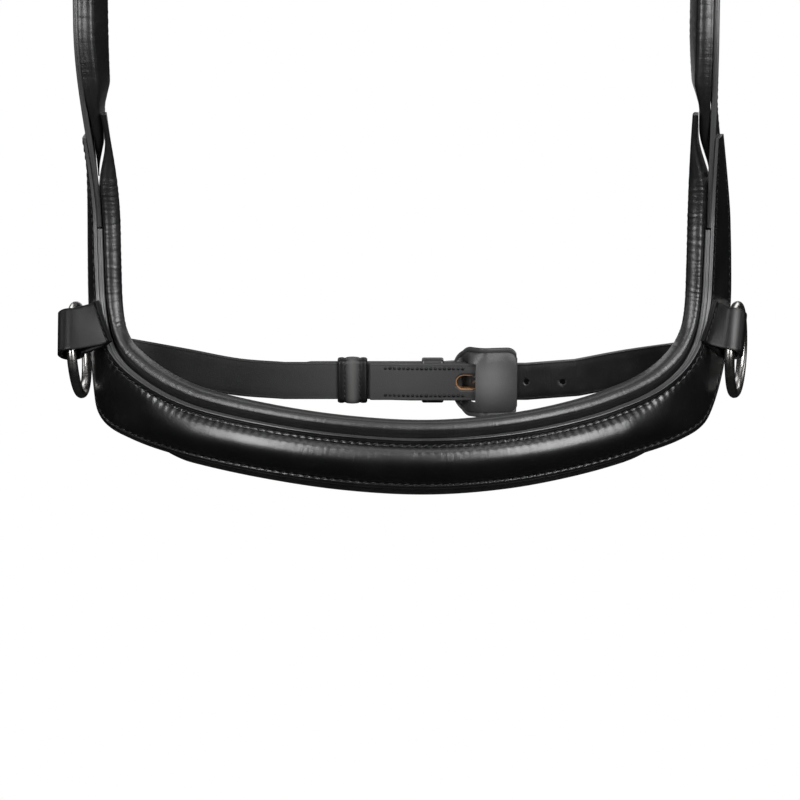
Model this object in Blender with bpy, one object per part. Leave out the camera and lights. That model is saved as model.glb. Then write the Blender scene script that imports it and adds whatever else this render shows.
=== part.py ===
# Bitless bridle with a padded noseband and a rein ring on each side.
# It is built as separate leather layers, straps, keepers and metal fittings.
# Units are metres. +Z is up, -Y is the front and +X is the right side seen from the front.
# The origin is under the middle of the headpiece, where the bridle hangs.

import math

import bmesh
import bpy
from mathutils import Matrix, Vector

MM = 0.001

# Clearances
SEAT = 0.3 * MM  # between pieces that are sewn or rest together
PIVOT_PLAY = 0.15 * MM  # round a buckle's bar, inside the tongue's eye
SLIDE_PLAY = 0.5 * MM  # round the straps, inside a running keeper or a browband loop

# Place of the noseband under the headpiece
CROWN_RISE = 468 * MM
NOSE_SIDEWAYS = 4.4 * MM
NOSE_BACK = 18 * MM

# Nose form: the curve that the noseband wraps round, seen from above
FRONT_REACH = 66 * MM
FRONT_RADIUS = 235 * MM
FRONT_HALF_LENGTH = {-1: 147.65 * MM, 1: 145.6 * MM}  # from the middle to where a corner starts
CORNER_RADIUS = {-1: 40 * MM, 1: 36 * MM}
SIDE_TURN = {-1: math.radians(79), 1: math.radians(66)}
FRONT_TILT = 0.25  # slope of the front, whose top edge lies further forward
TILT_FADE = 30 * MM
DROP_SHIFT = 10 * MM  # how far right of the middle the noseband hangs lowest
DROP_SHIFT_REACH = 110 * MM

# Noseband outline in its flat pattern: distance from the middle, height, width
BAND_PATTERN = (
    (0 * MM, -1.3 * MM, 25.5 * MM),
    (38 * MM, 0.5 * MM, 25.5 * MM),
    (76 * MM, 4.9 * MM, 25.5 * MM),
    (112 * MM, 11 * MM, 26.5 * MM),
    (138 * MM, 18 * MM, 30 * MM),
    (160 * MM, 29 * MM, 35 * MM),
    (174 * MM, 45 * MM, 35 * MM),
    (181 * MM, 66 * MM, 32 * MM),
    (182 * MM, 86 * MM, 29 * MM),
    (181.6 * MM, 105 * MM, 25.5 * MM),
    (180.8 * MM, 126 * MM, 22 * MM),
    (180 * MM, 150 * MM, 19.5 * MM),
)
FACE_THICKNESS = 1.7 * MM
BACKING_THICKNESS = 2.9 * MM
BACKING_TOP = 105 * MM
ARM_LINE = 181 * MM  # middle of an arm and of the strap above it
SWELL_HEIGHT = 5.5 * MM
SWELL_MARGIN = 3.6 * MM
SWELL_END = 150 * MM
SWELL_SPANS = 7
LEAST_SWELL = 1.5 * MM  # under this height it has no core
SWELL_FADE = 45 * MM
ARM_SHIFT = {-1: 3.5 * MM, 1: -2.5 * MM}
ARM_SHIFT_START = 130 * MM
ARM_SHIFT_RUN = 45 * MM

# Lining pad behind the noseband
LINING_THICKNESS = 8.3 * MM
LINING_ROLL = 8 * MM
LINING_ARM_ROLL = 4.6 * MM
LINING_LOWER_EDGE = 3.5 * MM
LINING_ARM_INSET = 11 * MM
LINING_FULL_TOP = 122 * MM
LINING_TAB_BASE = 150 * MM
LINING_TOP = 162 * MM
LINING_TAB_THICKNESS = 2.6 * MM
LINING_TAB_WIDTH = 14 * MM

# Rein rings and the chapes that hold them
RING_OUTER_DIAMETER = 48 * MM
RING_WIRE = 5 * MM
RING_REST = {-1: math.radians(8), 1: math.radians(0)}  # inward from square to the chape
CHAPE_THICKNESS = 2.2 * MM
CHAPE_THIN = 1.1 * MM  # its ends, which are sewn down
CHAPE_LENGTH = 22 * MM  # along the ring's wire
CHAPE_TILT = math.radians(32)  # its top lies further back
CHAPE_TURN = {-1: math.radians(87), 1: math.radians(76)}
CHAPE_STAND = {-1: 12.3 * MM, 1: 8.2 * MM}  # from the face to the wire
CHAPE_HEIGHT = 53.8 * MM
CHAPE_CENTRE = 171 * MM
CHAPE_ROOM = 4.5 * MM  # half the width of its channel
CHAPE_FLAP = 14.5 * MM  # how far its ends reach to the front
CHAPE_BEND = 9 * MM

# Chin strap
CHIN_WIDTH = 19 * MM
CHIN_THICKNESS = 2.4 * MM
CHIN_BACK = 42 * MM
CHIN_HEIGHT = 21 * MM
CHIN_END_HEIGHT = 37 * MM
CHIN_END_INSIDE = 185 * MM
CHIN_STRAIGHT = 62 * MM
CHIN_BAR_X = 36.4 * MM
CHIN_BILLET_TIP = 57 * MM  # left of the middle
CHIN_FOLD_LENGTH = 55 * MM

# Buckles
BAR_RADIUS = 1.5 * MM
BUCKLE_REACH = 16 * MM
BUCKLE_DROP = 2.6 * MM
BUCKLE_CORNER = 3 * MM
BILLET_ROUND = 9 * MM  # over which a billet's tip narrows
PUNCH_DEPTH = 12 * MM
TONGUE_RADIUS = 1.1 * MM
TONGUE_SLOT_WIDTH = 6.6 * MM
KEEPER_THICKNESS = 1.3 * MM
HOLE_PITCH = 18.3 * MM
HOLE_RADIUS = 2.1 * MM
HOLE_FROM_BAR = 5.9 * MM

# Buckle guard
GUARD_THICKNESS = 1.8 * MM
GUARD_HEIGHT = 35.5 * MM
GUARD_LEFT = -12.6 * MM
GUARD_RIGHT = 19.4 * MM
GUARD_SLOT_LEFT = -7.2 * MM
GUARD_SLOT_RIGHT = -2.9 * MM
GUARD_SLOT_EASE = 1.1 * MM

# Chin keepers, along the strap from the buckle's bar
CHIN_RUNNING_KEEPER = -63.8 * MM
CHIN_RUNNING_LENGTH = 15 * MM
KEEPER_PRESS = 0.1 * MM  # how far the running keeper presses the strap back
CHIN_FIXED_KEEPER = -23.2 * MM
CHIN_FIXED_LENGTH = 11 * MM

# Cheek straps
CHEEK_THICKNESS = 3 * MM
CHEEK_WIDTH = 19 * MM
CHEEK_X = 151 * MM
CHEEK_FREE_HEIGHT = 205 * MM
CHEEK_TURN = {-1: math.radians(104), 1: math.radians(95)}
CHEEK_BAR_HEIGHT = 312 * MM
CHEEK_FIXED_KEEPER = -22.5 * MM  # from the buckle's bar
CHEEK_RUNNING_KEEPER = -48.5 * MM
CHEEK_KEEPER_LENGTH = 11 * MM
CHEEK_BILLET_TIP = -63 * MM
CHEEK_PAD_THICKNESS = 8 * MM
CHEEK_PAD_WIDTH = 25 * MM
CHEEK_PAD_POINT = 130 * MM
CHEEK_PAD_NARROW = 5.2 * MM  # its thickness behind the noseband's tab
CHEEK_PAD_FULL = 178 * MM
CHEEK_PAD_BELOW_BAR = 66 * MM

# Headpiece and browband
CROWN_THICKNESS = 3.4 * MM
CROWN_WIDTH = 36 * MM
CROWN_BILLET_WIDTH = 19 * MM
CROWN_SPRING_ABOVE_BROW = 24 * MM
CROWN_PAD_THICKNESS = 8 * MM
CROWN_PAD_WIDTH = 44 * MM
CROWN_STEPS = 32  # straight lengths that make up its arch
CROWN_PAD_SKIP = 7  # those left bare at each end of the pad
BROW_ABOVE_BAR = 50 * MM  # from the cheek buckles' bars to the browband's middle
BROW_WIDTH = 22 * MM
BROW_THICKNESS = 3 * MM
BROW_REACH = 74 * MM
BROW_PAD_THICKNESS = 6 * MM
BROW_PAD_WIDTH = 26 * MM
BROW_SEWN_LENGTH = 18 * MM
BROW_LEAD = 14 * MM  # from a loop to where the browband bends to the front
BROW_LOOP_HEIGHT = 28 * MM
BROW_LOOP_THICKNESS = 2.2 * MM

CHEEK_MIDDLE = -FACE_THICKNESS - SEAT - CHEEK_THICKNESS / 2
CHEEK_PAD_TOP = CHEEK_BAR_HEIGHT - CHEEK_PAD_BELOW_BAR
SIDE_NAME = {-1: "left", 1: "right"}
UP = Vector((0, 0, 1))


def clear_scene():
    for obj in list(bpy.data.objects):
        bpy.data.objects.remove(obj, do_unlink=True)


def make_material(name, colour, roughness, metallic=0.0):
    material = bpy.data.materials.new(name)
    material.use_nodes = True
    shader = material.node_tree.nodes["Principled BSDF"]
    shader.inputs["Base Color"].default_value = (*colour, 1)
    shader.inputs["Roughness"].default_value = roughness
    shader.inputs["Metallic"].default_value = metallic
    return material


def eased(x):
    x = min(max(x, 0.0), 1.0)
    return x * x * (3 - 2 * x)


def mix(a, b, share):
    return a + (b - a) * share


def spline(points, steps):
    """Points on a smooth curve through the given ones, with this many steps between each two."""
    points = [Vector(p) for p in points]
    count = len(points)
    slopes = []
    for i in range(count):
        before, after = points[max(i - 1, 0)], points[min(i + 1, count - 1)]
        run = (points[i] - before).length + (after - points[i]).length
        slopes.append((after - before) / run)
    result = []
    for i in range(count - 1):
        length = (points[i + 1] - points[i]).length
        for k in range(steps):
            t = k / steps
            result.append(
                points[i] * (2 * t**3 - 3 * t**2 + 1)
                + slopes[i] * length * (t**3 - 2 * t**2 + t)
                + points[i + 1] * (3 * t**2 - 2 * t**3)
                + slopes[i + 1] * length * (t**3 - t**2)
            )
    result.append(points[-1])
    return result


def add_solid(name, bm, material):
    bm.normal_update()
    bmesh.ops.recalc_face_normals(bm, faces=bm.faces)
    mesh = bpy.data.meshes.new(name)
    bm.to_mesh(mesh)
    bm.free()
    mesh.materials.append(material)
    mesh.shade_smooth()
    mesh.set_sharp_from_angle(angle=math.radians(35))
    obj = bpy.data.objects.new(name, mesh)
    bpy.context.scene.collection.objects.link(obj)
    return obj


def loft(name, rings, material, closed=False):
    """A solid through a row of rings of points, with flat ends unless it closes on itself."""
    bm = bmesh.new()
    rows = [[bm.verts.new(p) for p in ring] for ring in rings]
    pairs = list(zip(rows, rows[1:]))
    if closed:
        pairs.append((rows[-1], rows[0]))
    for first, second in pairs:
        for i in range(len(first)):
            j = (i + 1) % len(first)
            bm.faces.new((first[i], first[j], second[j], second[i]))
    if not closed:
        bm.faces.new(rows[0])
        bm.faces.new(rows[-1])
    return add_solid(name, bm, material)


def strap_section(half_width, half_thickness, spans=1):
    """Outline of a strap's section, with its edges eased."""
    ease = min(0.35 * half_thickness, 0.5 * half_width)
    w, t = half_width, half_thickness
    flat = [mix(-w + ease, w - ease, k / spans) for k in range(spans + 1)]
    section = [(-w, -t + ease)] + [(a, -t) for a in flat] + [(w, -t + ease)]
    return section + [(w, t - ease)] + [(a, t) for a in reversed(flat)] + [(-w, t - ease)]


def ribbon(name, stations, thickness, material):
    """A strap along stations of (point, direction across the strap, half its width)."""
    rings = []
    for i, (point, across, half_width) in enumerate(stations):
        before = stations[max(i - 1, 0)][0]
        after = stations[min(i + 1, len(stations) - 1)][0]
        tangent = (after - before).normalized()
        normal = tangent.cross(across).normalized()
        level = normal.cross(tangent).normalized()
        section = strap_section(half_width, thickness / 2)
        rings.append([point + level * a + normal * b for a, b in section])
    return loft(name, rings, material)


def tube(name, points, radius, material, sides=8, closed=False):
    """A round bar along points that lie in one plane."""
    count = len(points)
    plane = (points[1] - points[0]).cross(points[count // 2] - points[0]).normalized()
    rings = []
    for i, point in enumerate(points):
        if closed:
            tangent = points[(i + 1) % count] - points[i - 1]
        else:
            tangent = points[min(i + 1, count - 1)] - points[max(i - 1, 0)]
        side = tangent.normalized().cross(plane)
        turns = [2 * math.pi * k / sides for k in range(sides)]
        rings.append([point + (side * math.cos(a) + plane * math.sin(a)) * radius for a in turns])
    return loft(name, rings, material, closed)


def box_cutter(name, matrix, low, high):
    bm = bmesh.new()
    bmesh.ops.create_cube(bm, size=1)
    for vert in bm.verts:
        vert.co = matrix @ Vector(
            [mix(low[i], high[i], 0.5 + vert.co[i]) for i in range(3)]
        )
    return helper(name, bm)


def round_cutter(name, matrix, centre, radius, half_length, depth):
    """A rod along the local Y axis, or a slot where half_length stretches it along X."""
    rings = []
    for y in (-depth, depth):
        ring = []
        for k in range(12):
            angle = 2 * math.pi * (k + 0.5) / 12
            shift = half_length if math.cos(angle) > 0 else -half_length
            x = centre[0] + math.cos(angle) * radius + shift
            ring.append(matrix @ Vector((x, centre[1] + y, centre[2] + math.sin(angle) * radius)))
        rings.append(ring)
    bm = bmesh.new()
    rows = [[bm.verts.new(p) for p in ring] for ring in rings]
    for i in range(12):
        j = (i + 1) % 12
        bm.faces.new((rows[0][i], rows[0][j], rows[1][j], rows[1][i]))
    bm.faces.new(rows[0])
    bm.faces.new(rows[1])
    return helper(name, bm)


def helper(name, bm):
    bm.normal_update()
    bmesh.ops.recalc_face_normals(bm, faces=bm.faces)
    mesh = bpy.data.meshes.new(name)
    bm.to_mesh(mesh)
    bm.free()
    obj = bpy.data.objects.new(name, mesh)
    obj.hide_render = True
    obj.display_type = "WIRE"
    bpy.context.scene.collection.objects.link(obj)
    return obj


def cut(obj, cutter):
    modifier = obj.modifiers.new(cutter.name, "BOOLEAN")
    modifier.operation = "DIFFERENCE"
    modifier.solver = "EXACT"
    modifier.object = cutter


def set_pivot(obj, point):
    """Moves an object's origin to a joint's axis, leaving its shape where it is."""
    obj.data.transform(Matrix.Translation(-point))
    obj.location = point


# Nose form


def form(s):
    """Place and angle of the nose form at this distance along it from the middle."""
    side = -1 if s < 0 else 1
    turn = SIDE_TURN[side]
    run = abs(s)
    front_run, corner = FRONT_HALF_LENGTH[side], CORNER_RADIUS[side]
    half_angle = front_run / FRONT_RADIUS
    corner_run = corner * (turn - half_angle)
    front_angle = min(run / FRONT_RADIUS, half_angle)
    x = FRONT_RADIUS * math.sin(front_angle)
    y = FRONT_RADIUS * (1 - math.cos(front_angle)) - FRONT_REACH
    angle = front_angle
    if run > front_run:
        angle = min(half_angle + (run - front_run) / corner, turn)
        x += corner * (math.sin(angle) - math.sin(half_angle))
        y += corner * (math.cos(half_angle) - math.cos(angle))
    if run > front_run + corner_run:
        x += (run - front_run - corner_run) * math.cos(turn)
        y += (run - front_run - corner_run) * math.sin(turn)
    return x * side, y, angle * side


def nose_point(x, y, z):
    """A point given from the middle of the noseband."""
    return Vector((x + NOSE_SIDEWAYS, y + NOSE_BACK, z - CROWN_RISE))


def wrap(s, height, out=0.0):
    """A point of the flat pattern, wrapped on the nose form and lifted outwards."""
    x, y, angle = form(s)
    if height > 0:
        forward = FRONT_TILT * TILT_FADE * (1 - math.exp(-height / TILT_FADE))
    else:
        forward = FRONT_TILT * height
    return nose_point(x + math.sin(angle) * out, y - math.cos(angle) * out - forward, height)


def arm_line(side):
    return ARM_LINE + ARM_SHIFT[side]


def hung(side, point, height):
    """Moves a point of an arm, above the backing's end, as the cheek strap there leans."""
    free = eased((height - BACKING_TOP) / (CHEEK_FREE_HEIGHT - BACKING_TOP))
    base = wrap(side * arm_line(side), height, CHEEK_MIDDLE)
    turned = Matrix.Rotation(side * free * (CHEEK_TURN[side] - SIDE_TURN[side]), 3, "Z")
    target = nose_point(0, 0, height)
    target.x, target.y = side * CHEEK_X, 0.0
    return base.lerp(target, free) + turned @ (point - base)


# Noseband


def band_stations(top):
    """Stations along the noseband from its left tip to its right tip, up to a height."""
    mirrored = [(-s, height, width) for s, height, width in reversed(BAND_PATTERN[1:])]
    whole = spline(mirrored + list(BAND_PATTERN), 3)
    stations = []
    for i, point in enumerate(whole):
        if point.y > top + 0.01 * MM:
            continue
        before, after = whole[max(i - 1, 0)], whole[min(i + 1, len(whole) - 1)]
        tangent = Vector((after.x - before.x, after.y - before.y)).normalized()
        across = Vector((-tangent.y, tangent.x))
        shift = DROP_SHIFT * max(0.0, 1 - (point.x / DROP_SHIFT_REACH) ** 2)
        side = -1 if point.x < 0 else 1
        shift += side * ARM_SHIFT[side] * eased((abs(point.x) - ARM_SHIFT_START) / ARM_SHIFT_RUN)
        stations.append((Vector((point.x + shift, point.y)), across, point.z / 2))
    return stations


def on_band(station, across, out):
    centre, direction, _ = station
    place = centre + direction * across
    point = wrap(place.x, place.y, out)
    return hung(-1 if place.x < 0 else 1, point, place.y)


def swell_rise(station, share):
    """Height of the swell at a share from -1 to 1 of its width."""
    fade = eased((SWELL_END - abs(station[0].x)) / SWELL_FADE)
    return SWELL_HEIGHT * fade * max(0.0, 1 - share * share) ** 0.7


def noseband_face(material):
    rings = []
    steps = SWELL_SPANS
    for station in band_stations(BAND_PATTERN[-1][1]):
        half = station[2]
        swell_half = half - SWELL_MARGIN
        outer = [(-half, 0.0)]
        for k in range(steps + 1):
            share = 2 * k / steps - 1
            outer.append((swell_half * share, swell_rise(station, share)))
        outer.append((half, 0.0))
        inner = [(a, rise - FACE_THICKNESS) for a, rise in reversed(outer)]
        rings.append([on_band(station, a, out) for a, out in outer + inner])
    return loft("noseband_face", rings, material)


def swell_filler(material):
    """The soft core of the swell, between the face and the backing."""
    rings = []
    floor = -FACE_THICKNESS
    shares = [2 * k / SWELL_SPANS - 1 for k in range(1, SWELL_SPANS)]
    for station in band_stations(BAND_PATTERN[-1][1]):
        if swell_rise(station, 0) < LEAST_SWELL:
            continue
        swell_half = station[2] - SWELL_MARGIN
        top = []
        for share in shares:
            top.append((swell_half * share, floor + swell_rise(station, share) - 1.6 * SEAT))
        bottom = [(swell_half * share, floor) for share in reversed(shares)]
        rings.append([on_band(station, a, out) for a, out in top + bottom])
    return loft("swell_filler", rings, material)


def noseband_backing(material):
    rings = []
    for station in band_stations(BACKING_TOP):
        middle = -FACE_THICKNESS - SEAT - BACKING_THICKNESS / 2
        section = strap_section(station[2], BACKING_THICKNESS / 2, 5)
        rings.append([on_band(station, a, middle + b) for a, b in section])
    return loft("noseband_backing", rings, material)


def leather_depth():
    """How far the noseband's leather layers reach in from its outer face."""
    return FACE_THICKNESS + SEAT + BACKING_THICKNESS


def noseband_lining(material):
    """The soft pad, whose roll stands proud of the upper edge and whose ends thin to tabs."""
    stations = band_stations(BAND_PATTERN[-1][1])
    for side in (-1, 1):
        tip = stations[-1] if side > 0 else stations[0]
        extra = []
        for k in (1, 2, 3):
            height = mix(BAND_PATTERN[-1][1], LINING_TOP, k / 3)
            extra.append((Vector((tip[0].x, height)), tip[1], tip[2]))
        stations = stations + extra if side > 0 else extra[::-1] + stations
    rings = []
    outer_face = -leather_depth() - SEAT
    inner_face = outer_face - LINING_THICKNESS
    for station in stations:
        half, height = station[2], station[0].y
        on_arm = eased((height - 14 * MM) / (50 * MM))
        low_arm = eased((height - 10 * MM) / (14 * MM))
        upper = half + mix(LINING_ROLL, LINING_ARM_ROLL, on_arm)
        lower = -half + mix(-LINING_LOWER_EDGE, LINING_ARM_INSET, low_arm)
        thin = eased((height - LINING_FULL_TOP) / (LINING_TAB_BASE - LINING_FULL_TOP))
        middle = (upper + lower) / 2
        upper = mix(upper, middle + LINING_TAB_WIDTH / 2, thin)
        lower = mix(lower, middle - LINING_TAB_WIDTH / 2, thin)
        face = mix(outer_face, inner_face + LINING_TAB_THICKNESS, thin)
        proud = mix(1.8 * MM, 0.0, max(thin, on_arm))
        deep = inner_face
        mid = (face + deep) / 2
        flat_start, flat_end = lower + 1.2 * MM, min(half, upper - 2.4 * MM)
        section = [(lower, mid - 0.4 * MM), (lower + 0.3 * MM, face - 0.6 * MM)]
        section += [(mix(flat_start, flat_end, k / 5), face) for k in range(6)]
        section += [
            (max(mix(half, upper, 0.5), upper - 4 * MM), face + proud),
            (upper - 0.8 * MM, mix(face + proud, mid, 0.35)),
            (upper, mid),
            (upper - 0.8 * MM, mix(mid, deep, 0.6)),
            (mix(lower, upper, 0.8), deep),
            (mix(lower, upper, 0.55), deep),
            (mix(lower, upper, 0.28), mix(mid, deep, 0.92)),
            (mix(lower, upper, 0.1), mix(mid, deep, 0.6)),
        ]
        rings.append([on_band(station, a, out) for a, out in section])
    return loft("noseband_lining", rings, material)


# Rein rings


def ring_radius():
    return (RING_OUTER_DIAMETER - RING_WIRE) / 2


def ring_sagitta():
    """How far the wire bows within the chape's length."""
    radius = ring_radius()
    return radius - math.sqrt(radius**2 - (CHAPE_LENGTH / 2) ** 2)


def chape_frame(side):
    """Middle of the chape's channel, its axis, the way to the arm's front, and outward."""
    turn = CHAPE_TURN[side]
    back = Vector((side * math.cos(turn), math.sin(turn), 0))
    axis = UP * math.cos(CHAPE_TILT) + back * math.sin(CHAPE_TILT)
    forward = UP * math.sin(CHAPE_TILT) - back * math.cos(CHAPE_TILT)
    outward = Vector((side * math.sin(turn), -math.cos(turn), 0))
    middle = wrap(side * CHAPE_CENTRE, CHAPE_HEIGHT, CHAPE_STAND[side])
    return middle, axis, forward, outward


def chape(side, material):
    """A strip folded round the ring's wire, with both ends sewn flat on the face."""
    middle, axis, forward, outward = chape_frame(side)
    half_depth = 0.6 * RING_WIRE + ring_sagitta() / 2 + 2 * SEAT
    radius = CHAPE_ROOM + CHAPE_THICKNESS / 2
    centre = half_depth - CHAPE_ROOM
    near = SEAT + CHAPE_THIN / 2
    lap = near + CHAPE_THIN + SEAT / 2
    thick, thin = CHAPE_THICKNESS / 2, CHAPE_THIN / 2

    def in_loop(x, y, along):
        return middle - forward * x + outward * y + axis * along

    def on_face(x, out, along):
        s = CHAPE_CENTRE - x * math.cos(CHAPE_TILT) + along * math.sin(CHAPE_TILT)
        height = CHAPE_HEIGHT + x * math.sin(CHAPE_TILT) + along * math.cos(CHAPE_TILT)
        return wrap(side * s, height, out)

    profile = []
    for k in range(5):
        share = k / 4
        profile.append((on_face, mix(CHAPE_FLAP, CHAPE_BEND, share), near, thin))
    for k in range(3):
        profile.append((in_loop, mix(-centre, centre, k / 2), -radius, mix(thick, thin, 0.3)))
    for k in range(1, 8):
        angle = math.radians(-90 + 180 * k / 7)
        x, y = centre + radius * math.cos(angle), radius * math.sin(angle)
        profile.append((in_loop, x, y, thick))
    for k in range(1, 8):
        angle = math.radians(90 + 15 * k)
        x, y = -centre + radius * math.cos(angle), radius * math.sin(angle)
        profile.append((in_loop, x, y, mix(thick, thin, k / 9)))
    for k in range(3):
        share = k / 2
        profile.append((on_face, mix(CHAPE_BEND + 2.2 * MM, CHAPE_FLAP, share), lap, thin))
    stations = []
    steps = 5
    for step in range(steps + 1):
        along = CHAPE_LENGTH * (step / steps - 0.5)
        path = [place(x, y, along) for place, x, y, _ in profile]
        left, right = [], []
        for i, point in enumerate(path):
            before, after = path[max(i - 1, 0)], path[min(i + 1, len(path) - 1)]
            normal = axis.cross((after - before).normalized()).normalized()
            left.append(point + normal * profile[i][3])
            right.append(point - normal * profile[i][3])
        stations.append(left + right[::-1])
    bm = bmesh.new()
    rows = [[bm.verts.new(p) for p in station] for station in stations]
    count = len(rows[0])
    for lower, upper in zip(rows, rows[1:]):
        for i in range(count):
            j = (i + 1) % count
            bm.faces.new((lower[i], lower[j], upper[j], upper[i]))
    for row in (rows[0], rows[-1]):
        for i in range(len(profile) - 1):
            bm.faces.new((row[i], row[i + 1], row[count - 2 - i], row[count - 1 - i]))
    return add_solid(f"{SIDE_NAME[side]}_chape", bm, material)


def rein_ring(side, material):
    middle, axis, forward, outward = chape_frame(side)
    rest = RING_REST[side]
    forward = forward * math.cos(rest) + outward * math.sin(rest)
    radius = ring_radius()
    centre = middle - forward * (radius - ring_sagitta() / 2)
    count = 36
    points = []
    for k in range(count):
        angle = 2 * math.pi * k / count
        points.append(centre + (forward * math.cos(angle) + axis * math.sin(angle)) * radius)
    name = f"{SIDE_NAME[side]}_rein_ring"
    ring = tube(name, points, RING_WIRE / 2, material, sides=10, closed=True)
    set_pivot(ring, middle)
    return ring


# Buckled joints: local X runs from the strap to the buckle's free end, local Y to the inside


def loop_radius(thickness):
    return BAR_RADIUS + SEAT + thickness / 2


def layer_gap():
    """Room between a folded strap's two layers for the fixed keeper's ends."""
    return KEEPER_THICKNESS + 2 * SEAT


def fold_offset(thickness):
    return (layer_gap() + thickness) / 2


def folded_end(thickness, fold_length):
    """Middle line of a strap's end: in along its outer layer, round the bar and back."""
    offset = fold_offset(thickness)
    radius = loop_radius(thickness)
    path = [(-12 * MM, -offset), (-6 * MM, -offset)]
    for k in range(9):
        angle = math.radians(-110 + 220 * k / 8)
        path.append((radius * math.cos(angle), radius * math.sin(angle)))
    closed_offset = thickness / 2 + SEAT / 2
    drop = offset - closed_offset
    path += [(-6 * MM, offset), (-12 * MM, offset), (-0.62 * fold_length, offset)]
    path += [(-0.72 * fold_length, offset - drop), (-0.8 * fold_length, offset - 2 * drop)]
    path += [(-fold_length, offset - 2 * drop)]
    return path


def billet_crossing(thickness, lobe):
    """Middle line of the billet over the bar and through the buckle, from the strap's side on."""
    under = -(fold_offset(thickness) + thickness + SEAT)
    over_bar = -(loop_radius(thickness) + thickness + SEAT)
    over_lobe = under - lobe
    beyond = -BUCKLE_DROP + BAR_RADIUS + SEAT + thickness / 2
    return [
        (-26 * MM, under),
        (-17.4 * MM, mix(under, over_lobe, 0.06)),
        (-15.2 * MM, mix(under, over_lobe, 0.55)),
        (-13 * MM, over_lobe),
        (-6.5 * MM, over_lobe),
        (-2 * MM, min(over_bar, mix(over_bar, over_lobe, 0.5))),
        (1.5 * MM, over_bar),
        (4.2 * MM, mix(over_bar, beyond, 0.24)),
        (7.4 * MM, mix(over_bar, beyond, 0.72)),
        (10.5 * MM, mix(over_bar, beyond, 0.97)),
        (14 * MM, beyond),
        (BUCKLE_REACH + 3 * MM, beyond),
        (BUCKLE_REACH + 8 * MM, beyond),
    ]


def buckle_frame(name, matrix, width, material):
    half = width / 2 + SEAT + SLIDE_PLAY + BAR_RADIUS
    points = []
    for along, across in rounded_loop(BUCKLE_REACH, half, BUCKLE_CORNER):
        points.append(matrix @ Vector((along, -BUCKLE_DROP * along / BUCKLE_REACH, across)))
    return tube(name, points, BAR_RADIUS, material, sides=8, closed=True)


def rounded_loop(length, half, corner):
    """Corners of a round-cornered rectangle from the bar to the far end, in order round it."""
    points = []
    centres = ((corner, -half + corner), (length - corner, -half + corner))
    centres += ((length - corner, half - corner), (corner, half - corner))
    for quarter, (x, y) in enumerate(centres):
        for k in range(5):
            angle = math.radians(180 + 90 * quarter + 90 * k / 4)
            points.append((x + corner * math.cos(angle), y + corner * math.sin(angle)))
    return points


def buckle_tongue(name, matrix, material):
    """A flat tongue whose eye goes round the bar and whose tip lies on the far end."""
    eye_inner = BAR_RADIUS + PIVOT_PLAY
    eye_middle = eye_inner + TONGUE_RADIUS
    tip = (BUCKLE_REACH + 1.5 * MM, -BUCKLE_DROP - BAR_RADIUS - SEAT - TONGUE_RADIUS - 0.05 * MM)
    path = []
    for k in range(13):
        angle = math.radians(-150 - 290 * (1 - k / 12) + 40)
        path.append((eye_middle * math.cos(angle), eye_middle * math.sin(angle)))
    start = Vector(path[-1])
    for k in range(1, 6):
        share = k / 5
        path.append((mix(start.x, tip[0], share), mix(start.y, tip[1], eased(share) ** 0.8)))
    stations = []
    for x, y in path:
        stations.append((matrix @ Vector((x, y, 0)), matrix.to_3x3() @ UP, TONGUE_RADIUS))
    return ribbon(name, stations, 2 * TONGUE_RADIUS, material)


def span(middle, length):
    return middle - length / 2, middle + length / 2


def keeper_loop(name, matrix, x_span, y_span, half_width, material, wall=KEEPER_THICKNESS):
    """A leather band round the straps: its inside measures are given, its wall goes outside."""
    corner = 0.9 * MM
    rings = []
    x_low, x_high = x_span
    y_low, y_high = y_span
    for x, extra in ((x_low, 0), (x_high, 0), (x_high, wall), (x_low, wall)):
        ring = []
        round_off = corner + extra
        corners = ((1, 1), (-1, 1), (-1, -1), (1, -1))
        for quarter, (sy, sz) in enumerate(corners):
            cy = (y_high + extra - round_off) if sy > 0 else (y_low - extra + round_off)
            cz = sz * (half_width + extra - round_off)
            for k in range(4):
                angle = math.radians(90 * quarter + 90 * k / 3)
                place = (x, cy + round_off * math.cos(angle), cz + round_off * math.sin(angle))
                ring.append(matrix @ Vector(place))
        rings.append(ring)
    return loft(name, rings, material, closed=True)


# Chin strap


def chin_matrix():
    """Frame of the chin buckle: X along the strap to the right, Y to the front, Z down."""
    bar = nose_point(CHIN_BAR_X, CHIN_BACK, CHIN_HEIGHT)
    turn = Matrix(((1, 0, 0), (0, -1, 0), (0, 0, -1))).to_4x4()
    return Matrix.Translation(bar) @ turn


def chin_route(side):
    """Middle line from the buckle's straight stretch out to the noseband's inner face."""
    inside = -leather_depth() - SEAT - CHIN_THICKNESS / 2
    end = CHIN_END_INSIDE + ARM_SHIFT[side]
    height = CHIN_END_HEIGHT
    flat = side * CHIN_STRAIGHT
    return [
        nose_point(flat, CHIN_BACK, CHIN_HEIGHT),
        nose_point(flat + side * 24 * MM, CHIN_BACK - 0.4 * MM, CHIN_HEIGHT + 2 * MM),
        nose_point(flat + side * 50 * MM, CHIN_BACK - 2 * MM, mix(CHIN_HEIGHT, height, 0.45)),
        wrap(side * (end + 26 * MM), mix(CHIN_HEIGHT, height, 0.75), inside - 19 * MM),
        wrap(side * (end + 20.5 * MM), mix(CHIN_HEIGHT, height, 0.93), inside - 7.5 * MM),
        wrap(side * (end + 12 * MM), height, inside - 1.2 * MM),
        wrap(side * (end + 6 * MM), height, inside - 0.1 * MM),
        wrap(side * end, height, inside),
    ]


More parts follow.
